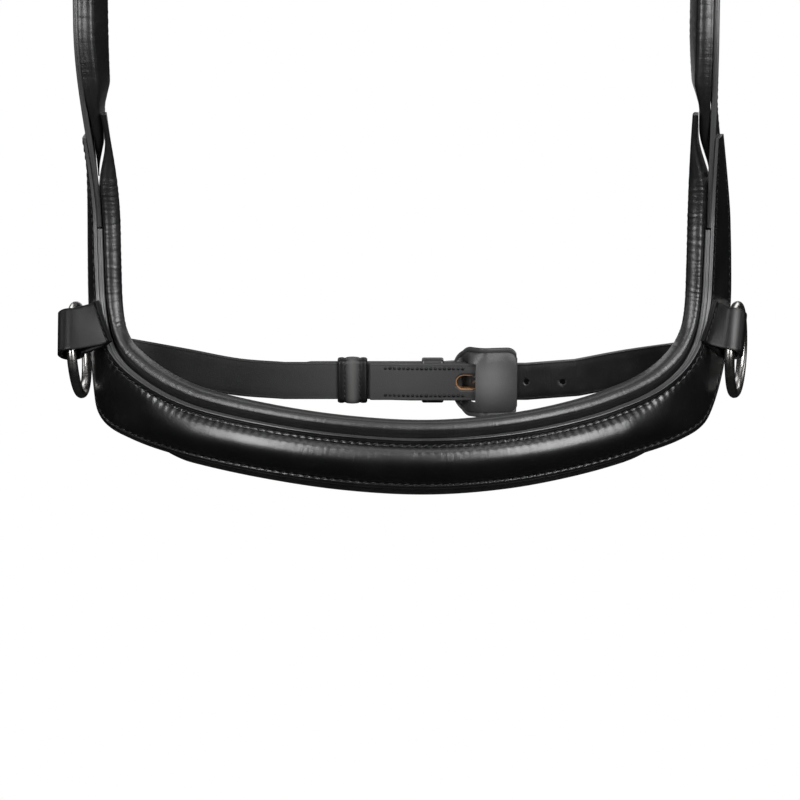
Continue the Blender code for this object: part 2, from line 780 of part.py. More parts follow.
def stations_of(points, half_width, across=UP, tip=0.0):
    """Stations with one width, drawn in to a rounded tip over the first few where asked."""
    stations = []
    run = 0.0
    for i, point in enumerate(points):
        if i:
            run += (point - points[i - 1]).length
        half = half_width
        if run < tip:
            half *= max(0.34, math.sqrt(max(0.0, 1 - (1 - run / tip) ** 2)))
        stations.append((point, across, half))
    return stations


def chin_buckle_strap(material):
    matrix = chin_matrix()
    offset = fold_offset(CHIN_THICKNESS)
    back = nose_point(-CHIN_STRAIGHT, CHIN_BACK, CHIN_HEIGHT) - chin_route(-1)[0]
    shift = Vector((0, offset, 0)) + back
    route = [p + shift * (1 if i < 3 else 0) for i, p in enumerate(chin_route(-1))]
    outer = spline(route, 5)[::-1]
    inner = [matrix @ Vector((x, y, 0)) for x, y in folded_end(CHIN_THICKNESS, CHIN_FOLD_LENGTH)]
    straight = [outer[-1].lerp(inner[0], share) for share in (0.05, 0.25, 0.27, 0.31, 0.45, 0.5, 0.75)]
    for point in straight[3:5]:
        point.y += KEEPER_PRESS
    stations = stations_of(outer + straight + inner, CHIN_WIDTH / 2)
    strap = ribbon("chin_buckle_strap", stations, CHIN_THICKNESS, material)
    reach = loop_radius(CHIN_THICKNESS) + CHIN_THICKNESS
    half_slot = TONGUE_SLOT_WIDTH / 2
    low = (-11.1 * MM, -reach, -half_slot)
    cut(strap, box_cutter("chin_tongue_slot", matrix, low, (reach, reach, half_slot)))
    return strap


def chin_billet(material):
    matrix = chin_matrix()
    lobe = GUARD_THICKNESS + SEAT
    crossing = [matrix @ Vector((x, y, 0)) for x, y in billet_crossing(CHIN_THICKNESS, lobe)]
    crossing = spline(crossing, 2)
    tip = nose_point(-CHIN_BILLET_TIP, 0, 0)
    first = crossing[0]
    tip_point = Vector((tip.x, first.y, first.z))
    lead = [tip_point.lerp(first, share) for share in (0, 0.02, 0.05, 0.09, 0.14, 0.4, 0.7)]
    route = chin_route(1)
    after = spline(route[1:], 5)
    stations = stations_of(lead + crossing + after, CHIN_WIDTH / 2, tip=BILLET_ROUND)
    billet = ribbon("chin_billet", stations, CHIN_THICKNESS, material)
    long_hole = round_cutter(
        "chin_tongue_hole", matrix, (HOLE_FROM_BAR, 0, 0), HOLE_RADIUS, 2.2 * MM, PUNCH_DEPTH
    )
    cut(billet, long_hole)
    for n in (-3, -2, 1, 2):
        centre = (HOLE_FROM_BAR + n * HOLE_PITCH, 0, 0)
        cut(billet, round_cutter(f"chin_hole_{n}", matrix, centre, HOLE_RADIUS, 0, PUNCH_DEPTH))
    return billet


def chin_keepers(material):
    matrix = chin_matrix()
    half = CHIN_WIDTH / 2 + SLIDE_PLAY
    offset = fold_offset(CHIN_THICKNESS)
    outside = -(offset + 1.5 * CHIN_THICKNESS + SEAT)
    main_inside = -offset + CHIN_THICKNESS / 2
    running = keeper_loop(
        "chin_running_keeper",
        matrix,
        span(CHIN_RUNNING_KEEPER, CHIN_RUNNING_LENGTH),
        (outside - SLIDE_PLAY, main_inside + SLIDE_PLAY),
        half,
        material,
    )
    set_pivot(running, matrix @ Vector((CHIN_RUNNING_KEEPER, -offset, 0)))
    fixed = keeper_loop(
        "chin_fixed_keeper",
        matrix,
        span(CHIN_FIXED_KEEPER, CHIN_FIXED_LENGTH),
        (outside - SLIDE_PLAY, main_inside + SEAT),
        half,
        material,
    )
    return running, fixed


def buckle_guard(material):
    """A leather tab that lies under the buckle, with a slot for the strap near its left end."""
    matrix = chin_matrix()
    offset = fold_offset(CHIN_THICKNESS)
    radius = loop_radius(CHIN_THICKNESS)
    half_guard = GUARD_THICKNESS / 2
    behind = -(offset + CHIN_THICKNESS / 2 + SEAT + half_guard)
    before = radius + CHIN_THICKNESS / 2 + SEAT + half_guard
    end_height = -BUCKLE_DROP + BAR_RADIUS + 2 * SEAT + CHIN_THICKNESS + half_guard
    route = [
        (GUARD_LEFT, behind),
        (mix(GUARD_LEFT, GUARD_SLOT_LEFT, 0.5), behind),
        (GUARD_SLOT_LEFT - 0.4 * MM, behind + 0.1 * MM),
        (mix(GUARD_SLOT_LEFT, GUARD_SLOT_RIGHT, 0.5), mix(behind, before, 0.5)),
        (GUARD_SLOT_RIGHT, before),
        (3 * MM, before + 0.1 * MM),
        (10 * MM, mix(before, end_height, 0.55)),
        (GUARD_RIGHT - 3 * MM, end_height + 0.3 * MM),
        (GUARD_RIGHT, end_height),
    ]
    points = [matrix @ Vector((p.x, p.y, 0)) for p in spline(route, 4)]
    half = GUARD_HEIGHT / 2
    left_round, right_round = 13 * MM, 5 * MM
    total = sum((b - a).length for a, b in zip(points, points[1:]))
    run = 0.0
    stations = []
    for i, point in enumerate(points):
        if i:
            run += (point - points[i - 1]).length
        near_left = max(0.0, 1 - run / left_round)
        near_right = max(0.0, 1 - (total - run) / right_round)
        width = half - left_round * 0.8 * (1 - math.sqrt(1 - near_left**2))
        width -= right_round * (1 - math.sqrt(max(0.0, 1 - near_right**2)))
        stations.append((point, UP, width))
    guard = ribbon("buckle_guard", stations, GUARD_THICKNESS, material)
    half_slot = CHIN_WIDTH / 2 + SEAT
    low = (GUARD_SLOT_LEFT - GUARD_SLOT_EASE, -PUNCH_DEPTH, -half_slot)
    high = (GUARD_SLOT_RIGHT + GUARD_SLOT_EASE, PUNCH_DEPTH, half_slot)
    cut(guard, box_cutter("guard_slot", matrix, low, high))
    return guard


# Cheek straps


def cheek_frame(side, height):
    """Place, direction from front to back and outward normal of a cheek strap at a height."""
    free = eased((height - BACKING_TOP) / (CHEEK_FREE_HEIGHT - BACKING_TOP))
    base = wrap(side * arm_line(side), height, CHEEK_MIDDLE)
    turn = mix(SIDE_TURN[side], CHEEK_TURN[side], free)
    along = Vector((side * math.cos(turn), math.sin(turn), 0))
    outward = Vector((side * math.sin(turn), -math.cos(turn), 0))
    return hung(side, base, height), along, outward


def cheek_matrix(side):
    """Frame of a cheek buckle: X up the strap, Y to the horse, Z across the strap."""
    place, along, outward = cheek_frame(side, CHEEK_BAR_HEIGHT)
    inward = -outward
    place = place + inward * fold_offset(CHEEK_THICKNESS)
    across = UP.cross(inward)
    turn = Matrix((UP, inward, across)).transposed().to_4x4()
    return Matrix.Translation(place) @ turn


def cheek_strap(side, material):
    matrix = cheek_matrix(side)
    fold = CHEEK_PAD_BELOW_BAR - 2 * MM
    inner = [matrix @ Vector((x, y, 0)) for x, y in folded_end(CHEEK_THICKNESS, fold)]
    stations = []
    bottom = BACKING_TOP + SEAT
    top = CHEEK_BAR_HEIGHT - 14 * MM
    for k in range(25):
        place, along, _ = cheek_frame(side, mix(bottom, top, k / 24))
        stations.append((place, along, CHEEK_WIDTH / 2))
    _, along, _ = cheek_frame(side, CHEEK_BAR_HEIGHT)
    for point in inner:
        stations.append((point, along, CHEEK_WIDTH / 2))
    name = f"{SIDE_NAME[side]}_cheek_strap"
    strap = ribbon(name, stations, CHEEK_THICKNESS, material)
    reach = loop_radius(CHEEK_THICKNESS) + CHEEK_THICKNESS
    half_slot = TONGUE_SLOT_WIDTH / 2
    low = (-11.1 * MM, -reach, -half_slot)
    slot = box_cutter(f"{name}_slot", matrix, low, (reach, reach, half_slot))
    cut(strap, slot)
    return strap


def cheek_pad(side, material):
    """The padded lining of a cheek strap, thinned to a point over the noseband's end."""
    rings = []
    count = 22
    for k in range(count + 1):
        height = mix(CHEEK_PAD_POINT, CHEEK_PAD_TOP, k / count)
        place, along, outward = cheek_frame(side, height)
        full = eased((height - CHEEK_PAD_POINT) / (CHEEK_PAD_FULL - CHEEK_PAD_POINT))
        narrow = eased((height - CHEEK_PAD_POINT) / (LINING_TAB_BASE + 2 * MM - CHEEK_PAD_POINT))
        rest = eased((height - LINING_TOP - MM) / (CHEEK_PAD_FULL - LINING_TOP - MM))
        thickness = mix(0.6 * MM, CHEEK_PAD_NARROW, narrow)
        thickness += (CHEEK_PAD_THICKNESS - CHEEK_PAD_NARROW) * rest
        end = math.sqrt(max(0.06, 1 - max(0.0, (height - CHEEK_PAD_TOP + 9 * MM) / (9 * MM)) ** 2))
        face = -CHEEK_THICKNESS / 2 - SEAT
        deep = face - thickness * mix(0.55, 1, end)
        half = CHEEK_PAD_WIDTH / 2 * mix(0.3, 1, full) * mix(0.8, 1, end)
        mid = (face + deep) / 2
        section = [
            (-half + 1.2 * MM, face),
            (half - 1.2 * MM, face),
            (half, mix(face, mid, 0.5)),
            (half, mix(mid, deep, 0.35)),
            (half - 1.6 * MM, mix(mid, deep, 0.9)),
            (half * 0.5, deep),
            (-half * 0.5, deep),
            (-half + 1.6 * MM, mix(mid, deep, 0.9)),
            (-half, mix(mid, deep, 0.35)),
            (-half, mix(face, mid, 0.5)),
        ]
        rings.append([place + along * a + outward * out for a, out in section])
    return loft(f"{SIDE_NAME[side]}_cheek_pad", rings, material)


def cheek_keepers(side, material):
    matrix = cheek_matrix(side)
    half = CHEEK_WIDTH / 2 + SLIDE_PLAY
    offset = fold_offset(CHEEK_THICKNESS)
    billet_out = -(offset + CHEEK_THICKNESS / 2 + SEAT + CROWN_THICKNESS)
    main_inside = -offset + CHEEK_THICKNESS / 2
    fold_inside = offset + CHEEK_THICKNESS / 2
    fixed = keeper_loop(
        f"{SIDE_NAME[side]}_fixed_keeper",
        matrix,
        span(CHEEK_FIXED_KEEPER, CHEEK_KEEPER_LENGTH),
        (billet_out - SLIDE_PLAY, main_inside + SEAT),
        half,
        material,
    )
    running = keeper_loop(
        f"{SIDE_NAME[side]}_running_keeper",
        matrix,
        span(CHEEK_RUNNING_KEEPER, CHEEK_KEEPER_LENGTH),
        (billet_out - SLIDE_PLAY, fold_inside + SLIDE_PLAY),
        half,
        material,
    )
    set_pivot(running, matrix @ Vector((CHEEK_RUNNING_KEEPER, -offset, 0)))
    return running, fixed


# Headpiece


def crown_arch():
    """Middle line of the headpiece over the poll, from left to right."""
    spring = CHEEK_BAR_HEIGHT + BROW_ABOVE_BAR + CROWN_SPRING_ABOVE_BROW - CROWN_RISE
    rise = CROWN_PAD_THICKNESS + SEAT + CROWN_THICKNESS / 2 - spring
    points = []
    for k in range(CROWN_STEPS + 1):
        angle = math.pi * (k / CROWN_STEPS - 0.5)
        end = cheek_matrix(-1 if angle < 0 else 1) @ Vector((0, beyond_offset(), 0))
        height = spring + rise * math.cos(angle)
        points.append(Vector((abs(math.sin(angle)) * end.x, end.y * math.sin(angle) ** 2, height)))
    return points


def beyond_offset():
    """Where the billet lies above its buckle, across the strap's thickness."""
    return -BUCKLE_DROP + BAR_RADIUS + SEAT + CROWN_THICKNESS / 2


def headpiece(material):
    arch = crown_arch()
    legs = {}
    for side in (-1, 1):
        matrix = cheek_matrix(side)
        _, along, _ = cheek_frame(side, CHEEK_BAR_HEIGHT)
        crossing = spline([Vector((*p, 0)) for p in billet_crossing(CROWN_THICKNESS, 0)], 2)
        under = crossing[0]
        tip = Vector((CHEEK_BILLET_TIP, under.y, 0))
        lead = [tip.lerp(under, share) for share in (0, 0.03, 0.08, 0.15, 0.25, 0.6)]
        points = [matrix @ p for p in lead + crossing]
        leg = stations_of(points, CROWN_BILLET_WIDTH / 2, along, tip=BILLET_ROUND)
        for share in (0.3, 0.65):
            leg.append((points[-1].lerp(arch[0 if side < 0 else -1], share), along, leg[-1][2]))
        legs[side] = leg
    left_along, right_along = legs[-1][0][1], legs[1][0][1]
    over = []
    for k, point in enumerate(arch):
        share = k / (len(arch) - 1)
        middle = 1 - abs(2 * share - 1)
        across = left_along.lerp(right_along, share)
        across = across.lerp(Vector((0, 1, 0)), eased(middle / 0.3))
        half = mix(CROWN_BILLET_WIDTH, CROWN_WIDTH, eased((middle - 0.05) / 0.3)) / 2
        over.append((point, across.normalized(), half))
    stations = legs[-1] + over + legs[1][::-1]
    strap = ribbon("headpiece", stations, CROWN_THICKNESS, material)
    for side in (-1, 1):
        for n in (-3, -2, -1, 0, 1):
            centre = (HOLE_FROM_BAR + n * HOLE_PITCH, 0, 0)
            name = f"{SIDE_NAME[side]}_billet_hole_{n + 3}"
            stretch = 1.6 * MM if n == 0 else 0
            matrix = cheek_matrix(side)
            cut(strap, round_cutter(name, matrix, centre, HOLE_RADIUS, stretch, PUNCH_DEPTH))
    return strap


def crown_pad(material):
    arch = crown_arch()
    rings = []
    for k in range(CROWN_PAD_SKIP, CROWN_STEPS + 1 - CROWN_PAD_SKIP):
        point = arch[k]
        inward = Vector((0, 1, 0)).cross(arch[k + 1] - arch[k - 1]).normalized()
        share = abs(2 * k / CROWN_STEPS - 1) * CROWN_STEPS / (CROWN_STEPS - 2 * CROWN_PAD_SKIP)
        end = math.sqrt(max(0.05, 1 - max(0.0, (share - 0.86) / 0.14) ** 2))
        half = CROWN_PAD_WIDTH / 2 * mix(0.7, 1, end)
        face = CROWN_THICKNESS / 2 + SEAT
        deep = face + CROWN_PAD_THICKNESS * mix(0.45, 1, end)
        section = cushion_section(half, face, deep)
        rings.append([point + Vector((0, a, 0)) + inward * out for a, out in section])
    return loft("crown_pad", rings, material)


def cushion_section(half, face, deep):
    """Outline of a pad that lies flat against a strap at face and swells to deep."""
    mid = (face + deep) / 2
    return [
        (-half + 1.2 * MM, face),
        (half - 1.2 * MM, face),
        (half, mix(face, mid, 0.5)),
        (half, mix(mid, deep, 0.3)),
        (half - 2 * MM, mix(mid, deep, 0.85)),
        (half * 0.45, deep),
        (-half * 0.45, deep),
        (-half + 2 * MM, mix(mid, deep, 0.85)),
        (-half, mix(mid, deep, 0.3)),
        (-half, mix(face, mid, 0.5)),
    ]


# Browband


def brow_loop(side, material):
    matrix = cheek_matrix(side)
    half = CROWN_BILLET_WIDTH / 2 + SLIDE_PLAY
    reach = CROWN_THICKNESS / 2 + SLIDE_PLAY
    return keeper_loop(
        f"{SIDE_NAME[side]}_browband_loop",
        matrix,
        span(BROW_ABOVE_BAR, BROW_LOOP_HEIGHT),
        span(beyond_offset(), 2 * reach),
        half,
        material,
        BROW_LOOP_THICKNESS,
    )


def brow_line(drop):
    """Middle line of the browband from left to right, this far inside the leather's own."""
    out = beyond_offset() - CROWN_THICKNESS / 2 - SLIDE_PLAY - BROW_LOOP_THICKNESS
    out -= SEAT + BROW_THICKNESS / 2
    ends = []
    for side in (-1, 1):
        matrix = cheek_matrix(side)
        _, along, outward = cheek_frame(side, CHEEK_BAR_HEIGHT)
        surface = matrix @ Vector((BROW_ABOVE_BAR, out, 0))
        edge = CROWN_BILLET_WIDTH / 2
        ends.append((surface, along, outward, edge))
    surface, along, _, edge = ends[0]
    line = [surface + along * (BROW_SEWN_LENGTH - edge), surface - along * edge]
    left, right = ends[0][0] - ends[0][1] * BROW_LEAD, ends[1][0] - ends[1][1] * BROW_LEAD
    for k in range(1, 24):
        angle = math.pi * k / 24
        share = (1 - math.cos(angle)) / 2
        base = left.lerp(right, share)
        forward = (BROW_REACH + base.y) * math.sin(angle) ** 0.8
        line.append(Vector((base.x, base.y - forward, base.z)))
    surface, along, _, edge = ends[1]
    line += [surface - along * edge, surface + along * (BROW_SEWN_LENGTH - edge)]
    if not drop:
        return line
    inner = []
    for k, point in enumerate(line):
        tangent = line[min(k + 1, len(line) - 1)] - line[max(k - 1, 0)]
        inner.append(point + UP.cross(tangent).normalized() * drop)
    return inner


def browband(material):
    stations = [(p, UP, BROW_WIDTH / 2) for p in brow_line(0)]
    return ribbon("browband", stations, BROW_THICKNESS, material)


def browband_lining(material):
    drop = BROW_THICKNESS / 2 + SEAT
    line = brow_line(drop)[4:-4]
    rings = []
    for k, point in enumerate(line):
        before, after = line[max(k - 1, 0)], line[min(k + 1, len(line) - 1)]
        inward = UP.cross(after - before).normalized()
        share = abs(2 * k / (len(line) - 1) - 1)
        end = math.sqrt(max(0.06, 1 - max(0.0, (share - 0.85) / 0.15) ** 2))
        half = BROW_PAD_WIDTH / 2 * mix(0.75, 1, end)
        section = cushion_section(half, 0, BROW_PAD_THICKNESS * mix(0.35, 1, end))
        rings.append([point + UP * a + inward * out for a, out in section])
    return loft("browband_lining", rings, material)


def build():
    clear_scene()
    leather = make_material("black_leather", (0.012, 0.012, 0.014), 0.32)
    lining = make_material("lining_leather", (0.02, 0.02, 0.022), 0.5)
    foam = make_material("filler_foam", (0.5, 0.48, 0.42), 0.9)
    steel = make_material("polished_steel", (0.62, 0.61, 0.59), 0.18, 1.0)
    noseband_face(leather)
    swell_filler(foam)
    noseband_backing(leather)
    noseband_lining(lining)
    for side in (-1, 1):
        chape(side, leather)
        rein_ring(side, steel)
        cheek_strap(side, leather)
        cheek_pad(side, lining)
        matrix = cheek_matrix(side)
        name = SIDE_NAME[side]
        buckle_frame(f"{name}_buckle_frame", matrix, CHEEK_WIDTH, steel)
        set_pivot(buckle_tongue(f"{name}_buckle_tongue", matrix, steel), matrix.translation)
        cheek_keepers(side, leather)
        brow_loop(side, leather)
    headpiece(leather)
    crown_pad(lining)
    browband(leather)
    browband_lining(lining)
    chin_buckle_strap(leather)
    chin_billet(leather)
    chin_keepers(leather)
    buckle_guard(leather)
    matrix = chin_matrix()
    buckle_frame("chin_buckle_frame", matrix, CHIN_WIDTH, steel)
    set_pivot(buckle_tongue("chin_buckle_tongue", matrix, steel), matrix.translation)


build()
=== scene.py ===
import math

import bpy
from mathutils import Matrix, Vector, noise


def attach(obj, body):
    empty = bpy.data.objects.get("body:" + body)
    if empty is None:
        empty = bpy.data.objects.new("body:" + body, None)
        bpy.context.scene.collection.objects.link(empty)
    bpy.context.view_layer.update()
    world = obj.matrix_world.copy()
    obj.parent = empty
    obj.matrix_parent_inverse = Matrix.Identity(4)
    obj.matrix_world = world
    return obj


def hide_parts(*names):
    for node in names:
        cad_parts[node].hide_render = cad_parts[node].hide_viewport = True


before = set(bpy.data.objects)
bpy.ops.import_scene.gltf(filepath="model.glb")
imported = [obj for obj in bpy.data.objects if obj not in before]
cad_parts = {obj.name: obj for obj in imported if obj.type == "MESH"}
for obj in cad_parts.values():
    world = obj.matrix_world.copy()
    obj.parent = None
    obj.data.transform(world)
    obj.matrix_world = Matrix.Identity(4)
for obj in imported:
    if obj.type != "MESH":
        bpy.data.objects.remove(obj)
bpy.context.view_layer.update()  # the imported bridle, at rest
print("frame loaded,", len(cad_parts), "nodes")

# Shapes are worked out in millimetres and written to the meshes in metres
mm = 0.001
up = Vector((0, 0, 1))
sideName = {-1: "left", 1: "right"}
fit = {"seat": 0.3, "pivot": 0.15, "slide": 0.5}

nose = {
    "rise": 468, "sideways": 4.4, "back": 18,
    "reach": 66, "radius": 235, "length": {-1: 147.65, 1: 145.6}, "corner": {-1: 40, 1: 36},
    "turn": {-1: math.radians(79), 1: math.radians(66)}, "tilt": 0.25, "tiltFade": 30,
}

band = {
    "pattern": (  # distance from the middle, height, width
        (0, -1.3, 25.5), (38, 0.5, 25.5), (76, 4.9, 25.5), (112, 11, 26.5), (138, 18, 30), (160, 29, 35),
        (174, 45, 35), (181, 66, 32), (182, 86, 29), (181.6, 105, 25.5), (180.8, 126, 22), (180, 150, 19.5),
    ),
    "steps": 40, "face": 1.7, "backing": 2.9, "backingTop": 105, "armLine": 181,
    "armShift": {-1: 3.5, 1: -2.5}, "shiftOver": (130, 175), "dropShift": 10, "dropReach": 110,
    "swell": 5.5, "margin": 3.6, "swellFade": (150, 105),
    "rim": (  # distances from the cut edge at which the face is shaped
        0, 0.12, 0.3, 0.55, 0.8, 1.05, 1.4, 1.9, 2.3, 2.55, 2.8, 3.05, 3.3, 3.6, 3.9, 4.3, 4.9, 5.8, 7.0,
    ),
    "middleSteps": 9, "backSteps": 13, "cutRound": 0.45, "rimLine": (1.05, 0.1, 0.2),  # inset, depth, width
    "stitchInset": 2.8, "stitchSink": 0.12, "firstStitch": 2.0, "pitch": 4.0, "groove": (0.4, 0.42),
    "pucker": {-1: 0.495, 1: 1.1}, "puckerAt": 0.9, "puckerWidth": 1.5, "flatPucker": 0.25,
}


# Small helpers

def eased(x):
    x = min(max(x, 0.0), 1.0)
    return x * x * (3 - 2 * x)


def mix(a, b, share):
    return a + (b - a) * share


def bell(distance, width):
    return math.exp(-(distance / width) ** 2)


def rising(x, start, end):
    return eased((x - start) / (end - start))


def roundEnd(share, least):
    return math.sqrt(max(least, 1 - max(0.0, share) ** 2))


def heading(points, i):
    return points[min(i + 1, len(points) - 1)] - points[max(i - 1, 0)]


def runsAlong(points):
    # The length of the line up to each of its points
    runs = [0.0]
    for a, b in zip(points, points[1:]):
        runs.append(runs[-1] + (b - a).length)
    return runs


def axes(origin, x, y):
    # A frame at a point, from two of its directions
    return Matrix.Translation(origin) @ Matrix((x, y, x.cross(y))).transposed().to_4x4()


def linked(name, data):
    obj = bpy.data.objects.new(name, data)
    bpy.context.scene.collection.objects.link(obj)
    return obj


def settled(obj, name):
    # The object with its modifiers worked in, as a plain mesh
    mesh = bpy.data.meshes.new_from_object(obj.evaluated_get(bpy.context.evaluated_depsgraph_get()))
    bpy.data.objects.remove(obj)
    mesh.name = name
    return mesh


def spline(points, steps):
    points = [Vector(p) for p in points]
    last = len(points) - 1
    slopes = []
    for i in range(last + 1):
        before, after = points[max(i - 1, 0)], points[min(i + 1, last)]
        slopes.append((after - before) / ((points[i] - before).length + (after - points[i]).length))
    result = []
    for i in range(last):
        length = (points[i + 1] - points[i]).length
        for k in range(steps):
            t = k / steps
            result.append(
                points[i] * (2 * t**3 - 3 * t**2 + 1) + slopes[i] * length * (t**3 - 2 * t**2 + t)
                + points[i + 1] * (3 * t**2 - 2 * t**3) + slopes[i + 1] * length * (t**3 - t**2)
            )
    return result + [points[-1]]


def closedSpline(points, steps):
    count = len(points)
    result = []
    for i in range(count):
        a, b, c, d = (Vector(points[(i + k) % count]) for k in (-1, 0, 1, 2))
        for k in range(steps):
            t = k / steps
            result.append(0.5 * (2 * b + (c - a) * t + (2 * a - 5 * b + 4 * c - d) * t**2
                                 + (3 * b - a - 3 * c + d) * t**3))
    return result


# Materials

def add(tree, kind, values=None, **settings):
    made = tree.nodes.new(kind)
    for name, value in settings.items():
        setattr(made, name, value)
    for name, value in (values or {}).items():
        socket = made.inputs[name]
        if isinstance(value, bpy.types.NodeSocket):
            tree.links.new(value, socket)
        else:
            socket.default_value = value
    return made


def maths(tree, operation, a, b=0.0):
    return add(tree, "ShaderNodeMath", {0: a, 1: b}, operation=operation).outputs[0]


def plus(tree, base, value, weight):
    return maths(tree, "ADD", base, maths(tree, "MULTIPLY", value, weight))


def clouds(tree, where, scale, detail, rough=0.5, bend=0.0):
    values = {"Vector": where, "Scale": scale, "Detail": detail, "Roughness": rough, "Distortion": bend}
    return add(tree, "ShaderNodeTexNoise", values).outputs


def blend(tree, share, low, high):
    # A colour is three numbers, or the output of another node
    low, high = (c if isinstance(c, bpy.types.NodeSocket) else (*c, 1) for c in (low, high))
    return add(tree, "ShaderNodeMix", {"Factor": share, 6: low, 7: high}, data_type="RGBA").outputs[2]


def bumped(tree, surface, height, strength, depth):
    bump = add(tree, "ShaderNodeBump", {"Height": height, "Strength": strength, "Distance": depth})
    tree.links.new(bump.outputs[0], surface["Normal"])


def started(name):
    material = bpy.data.materials.new(name)
    material.use_nodes = True
    tree = material.node_tree
    return material, tree, tree.nodes["Principled BSDF"].inputs


def ramp(tree, value, low, high, outLow=0.0, outHigh=1.0):
    names = {"Value": value, "From Min": low, "From Max": high, "To Min": outLow, "To Max": outHigh}
    return add(tree, "ShaderNodeMapRange", names, interpolation_type="SMOOTHSTEP").outputs["Result"]


def newGroup(name, inputs, outputs):
    tree = bpy.data.node_groups.new(name, "ShaderNodeTree")
    for label, value in inputs.items():
        tree.interface.new_socket(label, in_out="INPUT", socket_type="NodeSocketFloat").default_value = value
    for label in outputs:
        tree.interface.new_socket(label, in_out="OUTPUT", socket_type="NodeSocketFloat")
    return tree, tree.nodes.new("NodeGroupInput").outputs, tree.nodes.new("NodeGroupOutput").inputs


def grainGroup():
    inputs = {"Cell": 1500, "Cell Depth": 0.5, "Pore Depth": 0.3, "Uneven": 0.5, "Wrinkle": 0.3}
    tree, given, result = newGroup("leatherGrain", inputs, ("Height", "Tone"))
    place = add(tree, "ShaderNodeTexCoord").outputs["Object"]
    warp = {0: clouds(tree, place, 260, 2)["Color"], "Scale": 0.0006}
    warp = add(tree, "ShaderNodeVectorMath", warp, operation="SCALE").outputs[0]
    where = add(tree, "ShaderNodeVectorMath", {0: place, 1: warp}, operation="ADD").outputs[0]
    cell = {"Vector": where, "Scale": given["Cell"]}
    cell = add(tree, "ShaderNodeTexVoronoi", cell, feature="DISTANCE_TO_EDGE").outputs["Distance"]
    pore = clouds(tree, place, 3200, 3, 0.6)["Fac"]
    broad = clouds(tree, place, 55, 4, 0.55)["Fac"]
    crease = clouds(tree, where, 420, 5, 0.62, 0.6)["Fac"]
    folded = maths(tree, "ABSOLUTE", maths(tree, "SUBTRACT", crease, 0.5))
    height = maths(tree, "MULTIPLY", ramp(tree, cell, 0.0, 0.35), given["Cell Depth"])
    for value, depth in ((pore, "Pore Depth"), (broad, "Uneven"), (folded, "Wrinkle")):
        height = plus(tree, height, value, given[depth])
    tree.links.new(height, result["Height"])
    tree.links.new(plus(tree, maths(tree, "MULTIPLY", broad, 0.7), pore, 0.3), result["Tone"])
    return tree


def edgeAndCreaseGroup():
    tree, given, result = newGroup("cutEdgeAndCreaseShade", {"Layer": 0.55, "Line Depth": 1.0}, ("Mask", "Lines"))
    # The mask is 1 on cut edges and on deep creases; in the creases its darker colour is painted shade
    mask = add(tree, "ShaderNodeAttribute", attribute_name="cutEdgeAndCreaseShade").outputs["Fac"]
    flat = add(tree, "ShaderNodeUVMap", uv_map="along").outputs["UV"]
    across = add(tree, "ShaderNodeSeparateXYZ", {0: flat}).outputs["Y"]
    across = plus(tree, maths(tree, "MULTIPLY", across, 1 / mm), clouds(tree, flat, 90, 3)["Fac"], 0.5)
    turns = maths(tree, "DIVIDE", maths(tree, "MULTIPLY", across, 2 * math.pi), given["Layer"])
    lines = ramp(tree, maths(tree, "SINE", turns), -1.0, 1.0)
    lines = maths(tree, "MULTIPLY", lines, given["Line Depth"])
    tree.links.new(mask, result["Mask"])
    tree.links.new(maths(tree, "MULTIPLY", lines, mask), result["Lines"])
    return tree


def wearGroup():
    tree, given, result = newGroup("wear", {"Amount": 0.4}, ("Scuff",))
    place = add(tree, "ShaderNodeTexCoord").outputs["Object"]
    patch = ramp(tree, clouds(tree, place, 34, 6, 0.7)["Fac"], 0.56, 0.72)
    fine = ramp(tree, clouds(tree, place, 700, 2)["Fac"], 0.45, 0.6)
    scuff = maths(tree, "MULTIPLY", patch, fine)
    tree.links.new(maths(tree, "MULTIPLY", scuff, given["Amount"]), result["Scuff"])
    return tree


def pleatGroup():
    tree, given, result = newGroup("pleats", {"Across": 850, "Along": 90, "Bend": 0.5}, ("Height",))
    flat = add(tree, "ShaderNodeUVMap", uv_map="along").outputs["UV"]
    split = add(tree, "ShaderNodeSeparateXYZ", {0: flat}).outputs
    scaled = {axis: maths(tree, "MULTIPLY", split[axis], given[label])
              for axis, label in (("X", "Across"), ("Y", "Along"))}
    where = add(tree, "ShaderNodeCombineXYZ", scaled).outputs[0]
    fine = clouds(tree, where, 1.0, 3, 0.6, given["Bend"])["Fac"]
    here = ramp(tree, clouds(tree, flat, 90, 2)["Fac"], 0.35, 0.65, 0.25, 1.0)
    tree.links.new(maths(tree, "MULTIPLY", fine, here), result["Height"])
    return tree


groups = {"grain": grainGroup(), "edge": edgeAndCreaseGroup(), "wear": wearGroup(), "pleats": pleatGroup()}


# What most leathers share, where a look says nothing else
commonLook = {
    "edgeRough": 0.0, "scuffRough": 0.12, "coat": 0.0, "coatRough": 0.3, "scuff": 0.4, "pleat": 0.0,
    "layers": 1.4, "bumpDepth": 0.00025,
}


